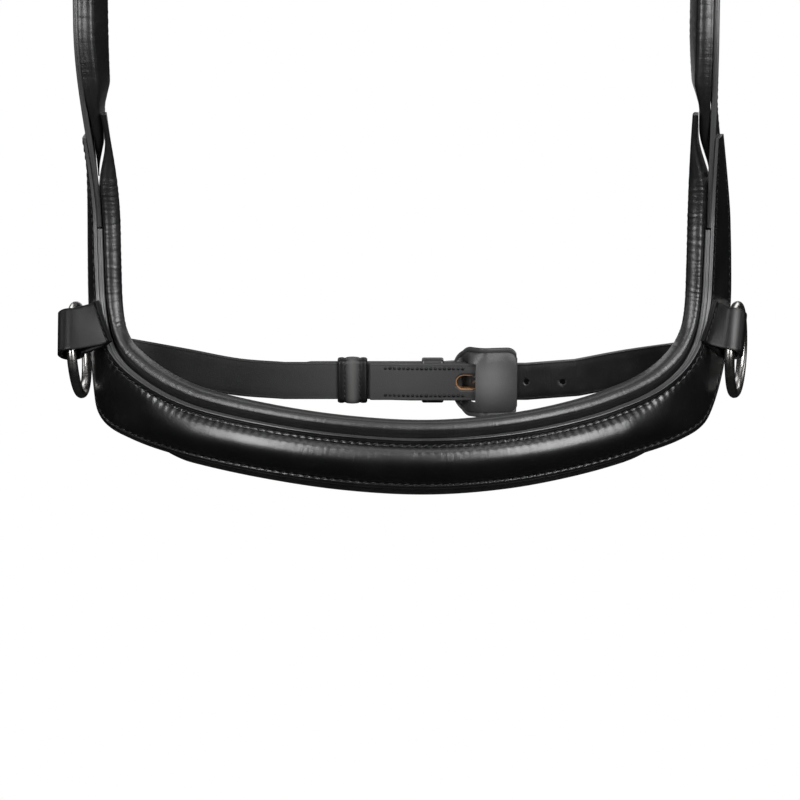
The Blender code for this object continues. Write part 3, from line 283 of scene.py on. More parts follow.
def leather(name, look):
    look = {**commonLook, "paintedHighlight": look["worn"], **look}
    material, tree, surface = started(name)
    kinds = ("grain", "edge", "wear", "pleats")
    grain, edge, wear, pleats = (add(tree, "ShaderNodeGroup", node_tree=groups[kind]) for kind in kinds)
    for socket, value in zip(grain.inputs, look["grain"]):
        socket.default_value = value
    wear.inputs["Amount"].default_value = look["scuff"]
    tone, mask, scuff = grain.outputs["Tone"], edge.outputs["Mask"], wear.outputs["Scuff"]
    # Painted highlight: where a piece carries paintedHighlight, its colour goes over to the look's lighter
    # highlight colour
    paintedHighlight = add(tree, "ShaderNodeAttribute", attribute_name="paintedHighlight").outputs["Fac"]
    colour = blend(tree, tone, look["dark"], look["light"])
    for share, over in ((mask, "edge"), (scuff, "worn"), (paintedHighlight, "paintedHighlight")):
        colour = blend(tree, share, colour, look[over])
    tree.links.new(colour, surface["Base Color"])
    rough = plus(tree, ramp(tree, tone, 0.3, 0.75, *look["roughness"]), mask, look["edgeRough"])
    tree.links.new(plus(tree, rough, scuff, look["scuffRough"]), surface["Roughness"])
    height = plus(tree, grain.outputs["Height"], edge.outputs["Lines"], look["layers"])
    height = plus(tree, height, pleats.outputs["Height"], look["pleat"])
    bumped(tree, surface, height, look["bump"], look["bumpDepth"])
    surface["Specular IOR Level"].default_value = look["specular"]
    surface["Coat Weight"].default_value = look["coat"]
    surface["Coat Roughness"].default_value = look["coatRough"]
    return material


def steel(name, look):
    material, tree, surface = started(name)
    place = add(tree, "ShaderNodeTexCoord").outputs["Object"]
    cloud = clouds(tree, place, 160, 4, 0.6)["Fac"]
    tree.links.new(blend(tree, cloud, look["dark"], look["light"]), surface["Base Color"])
    tree.links.new(ramp(tree, cloud, 0.3, 0.7, *look["roughness"]), surface["Roughness"])
    bumped(tree, surface, clouds(tree, place, 1900, 2, 0.7)["Fac"], 0.05, 0.0001)
    surface["Metallic"].default_value = 1.0
    return material


def waxedThread(name, colour):
    material, tree, surface = started(name)
    place = add(tree, "ShaderNodeTexCoord").outputs["Object"]
    twist = {"Vector": place, "Scale": 900, "Distortion": 2.0, "Detail": 1}
    twist = add(tree, "ShaderNodeTexWave", twist, bands_direction="DIAGONAL").outputs["Fac"]
    tree.links.new(blend(tree, twist, [c * 0.6 for c in colour], colour), surface["Base Color"])
    bumped(tree, surface, twist, 0.4, 0.0001)
    surface["Roughness"].default_value = 0.42
    return material


def foamCore(name):
    material, tree, surface = started(name)
    place = add(tree, "ShaderNodeTexCoord").outputs["Object"]
    cells = add(tree, "ShaderNodeTexVoronoi", {"Vector": place, "Scale": 1800}).outputs["Distance"]
    tree.links.new(blend(tree, cells, (0.5, 0.47, 0.4), (0.62, 0.6, 0.53)), surface["Base Color"])
    bumped(tree, surface, cells, 0.5, 0.0003)
    surface["Roughness"].default_value = 0.9
    return material


# A look's paintedHighlight is the lighter colour of its painted highlight; where it gives none, its worn
# colour is used
looks = {  # grain: cell scale, cell depth, pore depth, unevenness, wrinkle
    "bridle": {
        "dark": (0.0008, 0.0008, 0.001), "light": (0.0036, 0.0036, 0.004), "edge": (0.062, 0.062, 0.063),
        "worn": (0.018, 0.0175, 0.0175), "roughness": (0.3, 0.39), "edgeRough": 0.1, "bump": 0.2,
        "specular": 1.0, "coat": 0.8, "scuff": 0.3, "pleat": 3.6, "grain": (1500, 0.12, 0.25, 1.6, 0.35),
    },
    "plain": {
        "dark": (0.002, 0.002, 0.0022), "light": (0.008, 0.008, 0.0085), "edge": (0.03, 0.03, 0.03),
        "worn": (0.03, 0.029, 0.029), "paintedHighlight": (0.14, 0.137, 0.135), "roughness": (0.36, 0.48),
        "bump": 0.3, "specular": 0.4, "scuff": 0.3, "grain": (1350, 0.25, 0.5, 1.4, 0.9),
    },
    "strap": {
        "dark": (0.008, 0.008, 0.0082), "light": (0.016, 0.016, 0.0163), "edge": (0.02, 0.02, 0.02),
        "worn": (0.05, 0.049, 0.048), "paintedHighlight": (0.052, 0.052, 0.053), "roughness": (0.45, 0.58),
        "edgeRough": -0.06, "bump": 0.3, "specular": 0.45, "grain": (1250, 0.35, 0.5, 1.2, 0.6),
    },
    # The buckle guard's leather, lighter than the other blacks to stand for its satin sheen: painted sheen
    "sheen": {
        "dark": (0.04, 0.04, 0.04), "light": (0.066, 0.066, 0.066), "edge": (0.012, 0.012, 0.012),
        "worn": (0.12, 0.12, 0.12), "paintedHighlight": (0.15, 0.15, 0.15), "roughness": (0.34, 0.45),
        "bump": 0.3, "specular": 0.5, "coat": 0.1, "scuff": 0.3, "grain": (1250, 0.35, 0.5, 1.2, 0.6),
    },
    "lining": {
        "dark": (0.005, 0.005, 0.0052), "light": (0.018, 0.018, 0.0185), "edge": (0.02, 0.02, 0.02),
        "worn": (0.04, 0.04, 0.04), "roughness": (0.3, 0.42), "bump": 0.32, "specular": 0.9,
        "coat": 0.45, "scuff": 0.25, "pleat": 3.0, "grain": (1100, 0.3, 0.3, 1.2, 0.5),
    },
    "punched": {
        "dark": (0.002, 0.002, 0.002), "light": (0.005, 0.005, 0.005), "edge": (0.005, 0.005, 0.005),
        "worn": (0.01, 0.01, 0.01), "roughness": (0.85, 0.95), "bump": 0.4, "specular": 0.05,
        "grain": (1800, 0.3, 1.0, 0.5, 1.0),
    },
    "raw": {
        "dark": (0.2, 0.075, 0.028), "light": (0.45, 0.2, 0.075), "edge": (0.25, 0.1, 0.04),
        "worn": (0.4, 0.22, 0.1), "roughness": (0.5, 0.7), "bump": 0.5, "specular": 0.4,
        "grain": (1800, 0.3, 1.0, 0.5, 1.0),
    },
}
looks["matt"] = {**looks["plain"], "roughness": (0.5, 0.62), "bump": 0.2, "grain": (1350, 0.2, 0.4, 1.2, 0.6)}
ringSteel = {"dark": (0.5, 0.49, 0.475), "light": (0.66, 0.65, 0.63), "roughness": (0.22, 0.32)}
finish = {name: leather(f"{name}Leather", look) for name, look in looks.items()}
finish["steel"] = steel("polishedSteel", ringSteel)
finish["thread"] = waxedThread("waxedThread", (0.018, 0.018, 0.0185))
finish["darkThread"] = waxedThread("darkThread", (0.004, 0.004, 0.0042))
finish["foam"] = foamCore("fillerFoam")
slots = {name: "black_leather" for name in finish}
slots.update({"lining": "lining_leather", "steel": "polished_steel", "foam": "filler_foam"})
print("materials made")


# Meshes

def ringMesh(name, rings, flags=None, closedRun=False, sharp=38, strip=False):
    # A skin over equal sections, with the lengths along and around it as its UV map
    count, size = len(rings), len(rings[0])
    points = [p for section in rings for p in section]
    runs = runsAlong([section[0] for section in rings + rings[:1]])
    middle = rings[count // 2]
    girths = runsAlong(middle + middle[:1])
    faces, flat = [], []
    for i in range(count if closedRun else count - 1):
        n = (i + 1) % count
        for j in range(size):
            k = (j + 1) % size
            faces.append((i * size + j, i * size + k, n * size + k, n * size + j))
            flat.append([(runs[i], girths[j]), (runs[i], girths[j + 1]),
                         (runs[i + 1], girths[j + 1]), (runs[i + 1], girths[j])])
    if not closedRun:
        caps = [tuple(range(size))]
        if strip:  # a folded strip's end is closed from face to face
            caps = [(j, j + 1, size - 2 - j, size - 1 - j) for j in range(size // 2 - 1)]
        for cap in caps:
            faces += [cap[::-1], tuple((count - 1) * size + j for j in cap)]
            flat += [[(0.0, 0.0)] * len(cap)] * 2
    volume = sum(points[f[0]].dot(points[b].cross(points[c])) for f in faces for b, c in zip(f[1:], f[2:]))
    if volume < 0:
        faces = [face[::-1] for face in faces]
        flat = [corners[::-1] for corners in flat]
    mesh = bpy.data.meshes.new(name)
    mesh.from_pydata([p * mm for p in points], [], faces)
    layer = mesh.uv_layers.new(name="along")
    layer.data.foreach_set("uv", [value * mm for corners in flat for pair in corners for value in pair])
    if flags:
        mark = mesh.attributes.new("cutEdgeAndCreaseShade", "FLOAT", "POINT")
        mark.data.foreach_set("value", flags * count)
    mesh.shade_smooth()
    mesh.set_sharp_from_angle(angle=math.radians(sharp))
    return mesh


def place(name, mesh, look, body, *nodes):
    obj = linked(name, mesh)
    if not mesh.materials:
        mesh.materials.append(finish[look])
    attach(obj, body)
    if nodes:
        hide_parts(*nodes)
    return obj


def skinned(name, rings, look, body, node, **how):
    return place(name, ringMesh(name, rings, **how), look, body, node)


def paintHighlight(mesh, matrix, middle, reach):
    # Marks a painted highlight on a piece, about a point in its own frame: the colour is lightened there in
    # place of the light it would catch
    back = matrix.inverted()
    spots = [back @ (vertex.co / mm) for vertex in mesh.vertices]
    far = [math.hypot((p.x - middle[0]) / reach[0], (p.z - middle[1]) / reach[1]) for p in spots]
    mark = mesh.attributes.new("paintedHighlight", "FLOAT", "POINT")
    mark.data.foreach_set("value", [1 - eased(share) for share in far])


sewn = {}  # body and kind of thread: (point, normal, direction) of each stitch


def sew(points, normals, body, kind, pitch, start=2.0, sink=0.06):
    # Stitches along a line, sunk a little into the leather
    row = sewn.setdefault((body, kind), [])
    points = [p - n * sink for p, n in zip(points, normals)]
    runs = runsAlong(points)
    at, goal = 0, start
    while goal < runs[-1] - 0.5 * start:
        while runs[at + 1] < goal:
            at += 1
        share = (goal - runs[at]) / max(runs[at + 1] - runs[at], 1e-6)
        normal = normals[at].lerp(normals[at + 1], share).normalized()
        along = (points[at + 1] - points[at]).normalized()
        row.append((points[at].lerp(points[at + 1], share), normal, along))
        goal += pitch


# The nose form and the noseband's flat pattern wrapped on it

def form(s):
    side = -1 if s < 0 else 1
    turn, corner, front = nose["turn"][side], nose["corner"][side], nose["length"][side]
    half, run = front / nose["radius"], abs(s)
    angle = min(run / nose["radius"], half)
    x = nose["radius"] * math.sin(angle)
    y = nose["radius"] * (1 - math.cos(angle)) - nose["reach"]
    bend = corner * (turn - half)
    if run > front:
        angle = min(half + (run - front) / corner, turn)
        x += corner * (math.sin(angle) - math.sin(half))
        y += corner * (math.cos(half) - math.cos(angle))
    if run > front + bend:
        x += (run - front - bend) * math.cos(turn)
        y += (run - front - bend) * math.sin(turn)
    return x * side, y, angle * side


def nosePoint(x, y, z):
    return Vector((x + nose["sideways"], y + nose["back"], z - nose["rise"]))


def wrap(s, height, out=0.0):
    x, y, angle = form(s)
    if height > 0:
        forward = nose["tilt"] * nose["tiltFade"] * (1 - math.exp(-height / nose["tiltFade"]))
    else:
        forward = nose["tilt"] * height
    return nosePoint(x + math.sin(angle) * out, y - math.cos(angle) * out - forward, height)


cheek = {
    "thick": 3, "width": 19, "x": 151, "freeHeight": 205,
    "turn": {-1: math.radians(104), 1: math.radians(95)}, "bar": 312,
    "fixedKeeper": -22.5, "runningKeeper": -48.5, "keeperLength": 11, "billetTip": -63,
    "steps": 80, "belowBar": 14, "sewn": (18, 80), "pitch": 3.6,
    "pad": 8, "padWidth": 25, "padPoint": 130, "padNarrow": 5.2, "padFull": 178, "padBelowBar": 66,
    "padTip": 0.6, "padSteps": 90, "padEnd": 9, "wrinkle": 0.3, "seed": 5.7,
}
cheekMiddle = -band["face"] - fit["seat"] - cheek["thick"] / 2


def armLine(side, height):
    # Where a cheek strap lies in the noseband's arm, and how far it is free of it
    base = wrap(side * (band["armLine"] + band["armShift"][side]), height, cheekMiddle)
    return base, rising(height, band["backingTop"], cheek["freeHeight"])


def hung(side, point, height):
    base, free = armLine(side, height)
    turned = Matrix.Rotation(side * free * (cheek["turn"][side] - nose["turn"][side]), 3, "Z")
    target = nosePoint(0, 0, height)
    target.x, target.y = side * cheek["x"], 0.0
    return base.lerp(target, free) + turned @ (point - base)


def bandStations(top, steps=band["steps"]):
    # The flat pattern up to a height: a point, the direction across and half the width
    half = [Vector(p) for p in band["pattern"]]
    mirrored = [Vector((-p.x, p.y, p.z)) for p in half[:0:-1]]
    whole = spline(mirrored + half, steps)
    stations = []
    for i, point in enumerate(whole):
        if point.y > top + 0.01:
            continue
        tangent = heading(whole, i).xy.normalized()
        shift = band["dropShift"] * max(0.0, 1 - (point.x / band["dropReach"]) ** 2)
        side = -1 if point.x < 0 else 1
        shift += side * band["armShift"][side] * rising(abs(point.x), *band["shiftOver"])
        stations.append((Vector((point.x + shift, point.y)), Vector((-tangent.y, tangent.x)), point.z / 2))
    return stations


def onBand(station, across, out):
    centre, direction, _ = station
    spot = centre + direction * across
    return hung(-1 if spot.x < 0 else 1, wrap(spot.x, spot.y, out), spot.y)


def swellRise(station, share):
    fade = rising(abs(station[0].x), *band["swellFade"])
    return band["swell"] * fade * max(0.0, 1 - share * share) ** 0.7


def stitchRow(stations, side, out=0.0):
    return [onBand(s, side * (s[2] - band["stitchInset"]), out) for s in stations]


def faceRise(station, a, run):
    # How far the outer face stands up, with its seam and puckers
    edge, inset, rounding = station[2] - abs(a), band["stitchInset"], band["cutRound"]
    rise = swellRise(station, a / (station[2] - band["margin"]))
    drawn = band["pucker"][1 if a > 0 else -1] * (band["flatPucker"] + rise / band["swell"])
    if edge < rounding:
        rise -= rounding - math.sqrt(rounding**2 - (rounding - edge) ** 2)
    pull = 0.5 + 0.5 * math.cos(2 * math.pi * (run - band["firstStitch"]) / band["pitch"])
    depth, width = band["groove"]
    rise -= depth * bell(edge - inset, width) * (0.5 + 0.5 * pull)
    line, depth, width = band["rimLine"]
    rise -= depth * bell(edge - line, width)
    return rise - drawn * pull * bell(edge - inset - band["puckerAt"], band["puckerWidth"])


def nosebandFace():
    stations = bandStations(band["pattern"][-1][1])
    rows = {side: stitchRow(stations, side) for side in (1, -1)}
    runs = {side: runsAlong(row) for side, row in rows.items()}
    rim, parts, backs = band["rim"], band["middleSteps"], band["backSteps"]
    rings = []
    for i, station in enumerate(stations):
        half = station[2]
        spots = [-half + d for d in rim]
        spots += [mix(-half + rim[-1], half - rim[-1], k / parts) for k in range(1, parts)]
        spots += [half - d for d in reversed(rim)]
        outer = [(a, faceRise(station, a, runs[1 if a > 0 else -1][i])) for a in spots]
        spots = [mix(half, -half, k / backs) for k in range(backs + 1)]
        inner = [(a, swellRise(station, a / (half - band["margin"])) - band["face"]) for a in spots]
        rings.append([onBand(station, a, out) for a, out in outer + inner])
    flags = [1.0] + [0.0] * (len(outer) - 2) + [1.0, 1.0] + [0.0] * (backs - 1) + [1.0]
    for side, row in rows.items():
        normals = [(b - a).normalized() for a, b in zip(row, stitchRow(stations, side, 1))]
        sew(row, normals, "bridle", "thick", band["pitch"], band["firstStitch"], band["stitchSink"])
    skinned("nosebandOuter", rings, "bridle", "bridle", "noseband_face", flags=flags)


core = {"steps": 6, "parts": 14, "least": 2.1, "under": 0.48}


def swellCore():
    # The soft core, as far as the swell has room for one
    shares = [2 * k / core["parts"] - 1 for k in range(1, core["parts"])]
    rings = []
    for station in bandStations(band["pattern"][-1][1], core["steps"]):
        if swellRise(station, 0) < core["least"]:
            continue
        half = station[2] - band["margin"]
        top = [(half * s, swellRise(station, s) - band["face"] - core["under"]) for s in shares]
        bottom = [(half * s, -band["face"]) for s in reversed(shares)]
        rings.append([onBand(station, a, out) for a, out in top + bottom])
    skinned("swellCore", rings, "foam", "bridle", "swell_filler")


# Straps: a rounded section, carried along a line of stations

cut = {  # of every strap's edges
    "round": 0.75, "roundShare": 0.7, "seamDeep": 0.16, "seamHalf": 0.14, "endInset": 0.35, "endThin": 0.72,
    "stitchInset": 2.6,
}


def strapSection(w, t, marks=(), layers=1):
    # Half the width and half the thickness, and pressed lines as inset, depth and width
    edge = min(cut["roundShare"] * t, cut["round"])
    insets = {edge * share for share in (0, 0.12, 0.35, 0.65, 1)} | {edge + 0.4}
    for inset, _, width in marks:
        insets |= {inset + width * share for share in (-1.4, -0.6, 0, 0.6, 1.4)}
    insets = sorted(max(d, 0.0) for d in insets)
    squeeze = min(1.0, 0.9 * w / insets[-1])
    insets = [d * squeeze for d in insets]
    spots = [-w + d for d in insets]
    spots += [mix(-w + insets[-1], w - insets[-1], k / 6) for k in range(1, 6)]
    spots += [w - d for d in reversed(insets)]
    top = []
    for a in spots:
        d = w - abs(a)
        z = t
        if d < edge:
            z -= edge - math.sqrt(max(0.0, edge**2 - (edge - d) ** 2))
        for inset, depth, width in marks:
            z -= depth * bell(d / squeeze - inset, width) * squeeze
        top.append((a, z))
    side = []
    for k in range(1, layers):
        z = mix(t - edge, edge - t, k / layers)
        side += [(w, z + cut["seamHalf"]), (w - cut["seamDeep"], z), (w, z - cut["seamHalf"])]
    section = top + side + [(a, -z) for a, z in reversed(top)] + [(-a, -z) for a, z in side]
    # Cut edges are flagged for the edge colour and lines; a pressed crease deeper than 0.2 is flagged too,
    # which darkens the guard's border crease: painted shade in the crease
    flags = []
    for a, z in section:
        pressed = [bell(w - abs(a) - inset * squeeze, width) for inset, depth, width in marks if depth > 0.2]
        flags.append(1.0 if abs(a) > w - insets[3] + 1e-6 else max([0.0] + pressed))
    return section, flags


def ribbon(name, stations, thick, marks=(), layers=1, warp=None):
    rings, rows = [], []
    last = len(stations) - 1
    line = [point for point, _, _ in stations]
    for i, (point, across, half) in enumerate(stations):
        tangent = heading(line, i).normalized()
        normal = tangent.cross(across).normalized()
        level = normal.cross(tangent).normalized()
        section, flags = strapSection(half, thick / 2, marks, layers)
        full = [point + level * a + normal * b for a, b in section]
        rows.append((point, level, normal, half))
        if 0 < i < last:
            rings.append(full)
            continue
        slim, back = 1 - cut["endInset"] / half, tangent * cut["endInset"]
        tip = [point + level * a * slim + normal * b * cut["endThin"] for a, b in section]
        full = [p + back if i == 0 else p - back for p in full]
        rings += [tip, full] if i == 0 else [full, tip]
    if warp:
        places = [0] + list(range(len(stations))) + [last]
        rings = [[warp(line[i], p) for p in section] for i, section in zip(places, rings)]
    return ringMesh(name, rings, flags), rows


def sewRibbon(rows, face, thick, body, kind, pitch, first=0, end=None):
    # A row of stitches by each edge, on the face along (1) or against (-1) the normal
    for side in (-1, 1):
        points, normals = [], []
        for point, level, normal, half in rows[first:end]:
            points.append(point + level * side * (half - cut["stitchInset"]) + normal * face * thick / 2)
            normals.append(normal * face)
        sew(points, normals, body, kind, pitch)


def nosebandBacking():
    rings = []
    middle = -band["face"] - fit["seat"] - band["backing"] / 2
    for station in bandStations(band["backingTop"]):
        section, flags = strapSection(station[2], band["backing"] / 2, (), 2)
        rings.append([onBand(station, a, middle + b) for a, b in section])
    skinned("nosebandMiddle", rings, "bridle", "bridle", "noseband_backing", flags=flags)


lining = {
    "thick": 8.3, "roll": 8, "armRoll": 4.6, "lowerEdge": 3.5, "armInset": 11, "fullTop": 123,
    "tabBase": 152, "top": 162, "tab": 2.6, "tabWidth": 14, "tabSteps": 12, "proud": 1.8,
    "upperArm": (14, 64), "lowerArm": (10, 24),  # heights between which the edges go over to the arms
    "wrinkle": 0.09, "armWrinkle": 0.34, "seed": 3.1, "freeOver": (0.2, 1.7),
}


def wrinkles(run, girth, seed):
    fold = 0.0
    for wave, weight in ((2.1, 0.35), (3.4, 0.5), (6.1, 0.35)):
        bend = noise.noise(Vector((run / 17, girth / 11, seed + wave))) * 1.6
        crest = math.cos(2 * math.pi * run / wave + bend * 3)
        here = 0.45 + noise.noise(Vector((run / 12, girth / 16, seed - wave)))
        fold += weight * max(0.0, here) * (crest - abs(crest) * 0.4)
    return fold


def wrinkled(smooth, free, run, amount, seed, girth, sunk, spotOf):
    # A closed section with wrinkles where its leather is free, put in its place by spotOf
    section = []
    for j, spot in enumerate(smooth):
        along = (smooth[(j + 1) % len(smooth)] - smooth[j - 1]).normalized()
        outward = Vector((along.y, -along.x))
        fold = sunk - 0.5 * wrinkles(run, j * girth, seed)
        section.append(spotOf(*(spot - outward * (amount * free(spot) * fold))))
    return section


def nosebandLining():
    top = band["pattern"][-1][1]
    stations = bandStations(top)
    heights = [mix(top, lining["top"], (k + 1) / lining["tabSteps"]) for k in range(lining["tabSteps"])]
    for side in (-1, 1):
        centre, across, half = stations[-1] if side > 0 else stations[0]
        tab = [(Vector((centre.x, height)), across, half) for height in heights]
        stations = stations + tab if side > 0 else tab[::-1] + stations
    outerFace = -band["face"] - 2 * fit["seat"] - band["backing"]
    deep = outerFace - lining["thick"]
    rings = []
    for station, run in zip(stations, runsAlong([station[0] for station in stations])):
        half, height = station[2], station[0].y
        onArm = rising(height, *lining["upperArm"])
        thin = rising(height, lining["fullTop"], lining["tabBase"])
        upper = half + mix(lining["roll"], lining["armRoll"], onArm)
        lower = -half + mix(-lining["lowerEdge"], lining["armInset"], rising(height, *lining["lowerArm"]))
        middle, tabHalf = (upper + lower) / 2, lining["tabWidth"] / 2
        upper = mix(upper, middle + tabHalf, thin)
        lower = mix(lower, middle - tabHalf, thin)
        face = mix(outerFace, deep + lining["tab"], thin)
        proud = face + lining["proud"] * (1 - max(thin, onArm))
        mid = (face + deep) / 2
        section = [(lower, mid - 0.4), (lower + 0.3, face - 0.6)]
        section += [(mix(lower + 1.2, min(half, upper - 2.4), k / 3), face) for k in range(4)]
        section += [
            (max(mix(half, upper, 0.5), upper - 4), proud),
            (upper - 0.8, mix(proud, mid, 0.35)), (upper, mid), (upper - 0.8, mix(mid, deep, 0.6)),
            (mix(lower, upper, 0.8), deep), (mix(lower, upper, 0.55), deep),
            (mix(lower, upper, 0.28), mix(mid, deep, 0.92)), (mix(lower, upper, 0.1), mix(mid, deep, 0.6)),
        ]

        def free(spot):
            return rising(face - spot.y, *lining["freeOver"]) if spot.x < half else 1.0

        amount = mix(lining["wrinkle"], lining["armWrinkle"], onArm) * (1 - thin)
        rings.append(wrinkled(closedSpline(section, 4), free, run, amount, lining["seed"], 0.9, 0.25,
                              lambda a, out: onBand(station, a, out)))
    skinned("nosebandPad", rings, "lining", "bridle", "noseband_lining")


# Rein rings and their chapes

ring = {"outer": 48, "wire": 5, "rest": {-1: math.radians(8), 1: 0.0}, "around": 120, "sides": 28}
chape = {
    "thick": 2.2, "thin": 1.1, "length": 22, "tilt": math.radians(32),
    "turn": {-1: math.radians(87), 1: math.radians(76)}, "stand": {-1: 12.3, 1: 8.2},
    "height": 53.8, "centre": 171, "room": 4.5, "flap": 14.5, "bend": 9,
    "steps": 18, "endInset": 0.4, "endThin": 0.55,
    "rows": (13.0, 10.6), "rowShare": 0.92, "pitch": 3.1, "firstStitch": 1.2, "stitchSink": 0.05,
    "paintedHighlight": (2.6, 0.0), "highlightReach": (2.6, 30),
}
ringRadius = (ring["outer"] - ring["wire"]) / 2
sagitta = ringRadius - math.sqrt(ringRadius**2 - (chape["length"] / 2) ** 2)


def chapeFrame(side):
    turn, tilt = chape["turn"][side], chape["tilt"]
    back = Vector((side * math.cos(turn), math.sin(turn), 0))
    axis = up * math.cos(tilt) + back * math.sin(tilt)
    forward = up * math.sin(tilt) - back * math.cos(tilt)
    outward = Vector((side * math.sin(turn), -math.cos(turn), 0))
    return wrap(side * chape["centre"], chape["height"], chape["stand"][side]), axis, forward, outward


def chapePiece(side):
    # The leather goes round the ring's wire, and both its ends lie on the noseband's arm
    middle, axis, forward, outward = chapeFrame(side)
    thick, thin = chape["thick"] / 2, chape["thin"] / 2
    radius = chape["room"] + thick
    centre = 0.6 * ring["wire"] + sagitta / 2 + 2 * fit["seat"] - chape["room"]
    near = fit["seat"] + thin
    lap = near + chape["thin"] + fit["seat"] / 2

    def inLoop(x, y, along):
        return middle - forward * x + outward * y + axis * along

    def onFace(x, out, along):
        s = chape["centre"] - x * math.cos(chape["tilt"]) + along * math.sin(chape["tilt"])
        height = chape["height"] + x * math.sin(chape["tilt"]) + along * math.cos(chape["tilt"])
        return wrap(side * s, height, out)

    profile = [(onFace, mix(chape["flap"], chape["bend"], k / 8), near, thin) for k in range(9)]
    profile += [(inLoop, mix(-centre, centre, k / 4), -radius, mix(thick, thin, 0.3)) for k in range(5)]
    for k in range(1, 25):
        angle = math.radians(-90 + 180 * k / 24)
        profile.append((inLoop, centre + radius * math.cos(angle), radius * math.sin(angle), thick))
    for k in range(1, 15):
        angle = math.radians(90 + 7.5 * k)
        spot = (-centre + radius * math.cos(angle), radius * math.sin(angle))
        profile.append((inLoop, *spot, mix(thick, thin, k / 18)))
    profile += [(onFace, mix(chape["bend"] + 2.2, chape["flap"], k / 5), lap, thin) for k in range(6)]
    steps, inset = chape["steps"], chape["endInset"]
    rings = []
    for step in range(-1, steps + 2):
        inner = min(max(step, 0), steps)
        along = (chape["length"] - 2 * inset) * (inner / steps - 0.5) + inset * (step - inner)
        slim = 1.0 if step == inner else chape["endThin"]
        path = [way(x, y, along) for way, x, y, _ in profile]
        inside = [mix(b, (a + c) / 2, 0.5) for a, b, c in zip(path, path[1:], path[2:])]
        path = path[:1] + inside + path[-1:]
        left, right = [], []
        for i, point in enumerate(path):
            normal = axis.cross(heading(path, i).normalized()).normalized() * profile[i][3] * slim
            left.append(point + normal)
            right.append(point - normal)
        rings.append(left + right[::-1])
    name = f"{sideName[side]}RingChape"
    mesh = ringMesh(name, rings, sharp=50, strip=True)
    # Painted highlight on the right barrel's crown only; the left barrel stays dark
    if side > 0:
        paintHighlight(mesh, axes(middle, outward, forward), chape["paintedHighlight"], chape["highlightReach"])
    place(name, mesh, "plain", "bridle", f"{sideName[side]}_chape")
    spots = [(k / 30 - 0.5) * chape["rowShare"] * chape["length"] for k in range(31)]
    for x in chape["rows"]:
        row, above = ([onFace(x, lap + thin + out, spot) for spot in spots] for out in (0, 1))
        normals = [(b - a).normalized() for a, b in zip(row, above)]
        sew(row, normals, "bridle", "medium", chape["pitch"], chape["firstStitch"], chape["stitchSink"])


def newTree(name, sizes):
    tree = bpy.data.node_groups.new(name, "GeometryNodeTree")
    sockets = tree.interface
    sockets.new_socket("Geometry", in_out="INPUT", socket_type="NodeSocketGeometry")
    for label, value in sizes.items():
        kind = "NodeSocketInt" if isinstance(value, int) else "NodeSocketFloat"
        sockets.new_socket(label, in_out="INPUT", socket_type=kind).default_value = value
    sockets.new_socket("Finish", in_out="INPUT", socket_type="NodeSocketMaterial")
    sockets.new_socket("Geometry", in_out="OUTPUT", socket_type="NodeSocketGeometry")
    return tree, tree.nodes.new("NodeGroupInput").outputs


def endTree(tree, given, made):
    whole = add(tree, "GeometryNodeRealizeInstances", {"Geometry": made.outputs[0]})
    smooth = add(tree, "GeometryNodeSetShadeSmooth", {"Geometry": whole.outputs[0]})
    done = add(tree, "GeometryNodeSetMaterial", {"Geometry": smooth.outputs[0], "Material": given["Finish"]})
    tree.links.new(done.outputs[0], tree.nodes.new("NodeGroupOutput").inputs[0])
    return tree


def wireTree():
    tree, given = newTree("wireRing", {"Radius": 0.02, "Wire": 0.0025, "Around": 96, "Sides": 24})
    circles = []
    for parts, size in (("Around", "Radius"), ("Sides", "Wire")):
        values = {"Resolution": given[parts], "Radius": given[size]}
        circles.append(add(tree, "GeometryNodeCurvePrimitiveCircle", values).outputs[0])
    swept = add(tree, "GeometryNodeCurveToMesh", {"Curve": circles[0], "Profile Curve": circles[1]})
    return endTree(tree, given, swept)


def stitchTree():
    sizes = {"Length": 0.003, "Width": 0.0008, "Height": 0.0006, "Slant": 0.2, "Uneven": 0.1, "Seed": 4}
    tree, given = newTree("stitchRow", sizes)
    ball = add(tree, "GeometryNodeMeshUVSphere", {"Segments": 8, "Rings": 5, "Radius": 0.5})
    size = {"X": given["Length"], "Y": given["Width"], "Z": given["Height"]}
    size = add(tree, "ShaderNodeCombineXYZ", size)
    tilt = add(tree, "ShaderNodeCombineXYZ", {"Z": given["Slant"]})
    one = add(tree, "GeometryNodeTransform", {"Geometry": ball.outputs[0], "Scale": size.outputs[0]})
    one = add(tree, "GeometryNodeTransform", {"Geometry": one.outputs[0], "Rotation": tilt.outputs[0]})
    normal, along = (
        add(tree, "GeometryNodeInputNamedAttribute", {"Name": label}, data_type="FLOAT_VECTOR").outputs[0]
        for label in ("sewNormal", "sewAlong"))
    turn = add(tree, "FunctionNodeAxesToRotation", {0: normal, 1: along},
               primary_axis="Z", secondary_axis="X")
    low, high = (maths(tree, way, 1.0, given["Uneven"]) for way in ("SUBTRACT", "ADD"))
    swing = add(tree, "FunctionNodeRandomValue", {2: low, 3: high, "Seed": given["Seed"]}, data_type="FLOAT")
    copies = add(tree, "GeometryNodeInstanceOnPoints", {
        "Points": given["Geometry"], "Instance": one.outputs[0], "Rotation": turn.outputs[0],
        "Scale": swing.outputs[1]})
    return endTree(tree, given, copies)


def grown(name, tree, mesh, values):
    obj = linked(name, mesh)
    modifier = obj.modifiers.new(name, "NODES")
    modifier.node_group = tree
    for item in tree.interface.items_tree:
        if item.in_out == "INPUT" and item.name in values:
            modifier[item.identifier] = values[item.name]
    return settled(obj, name)


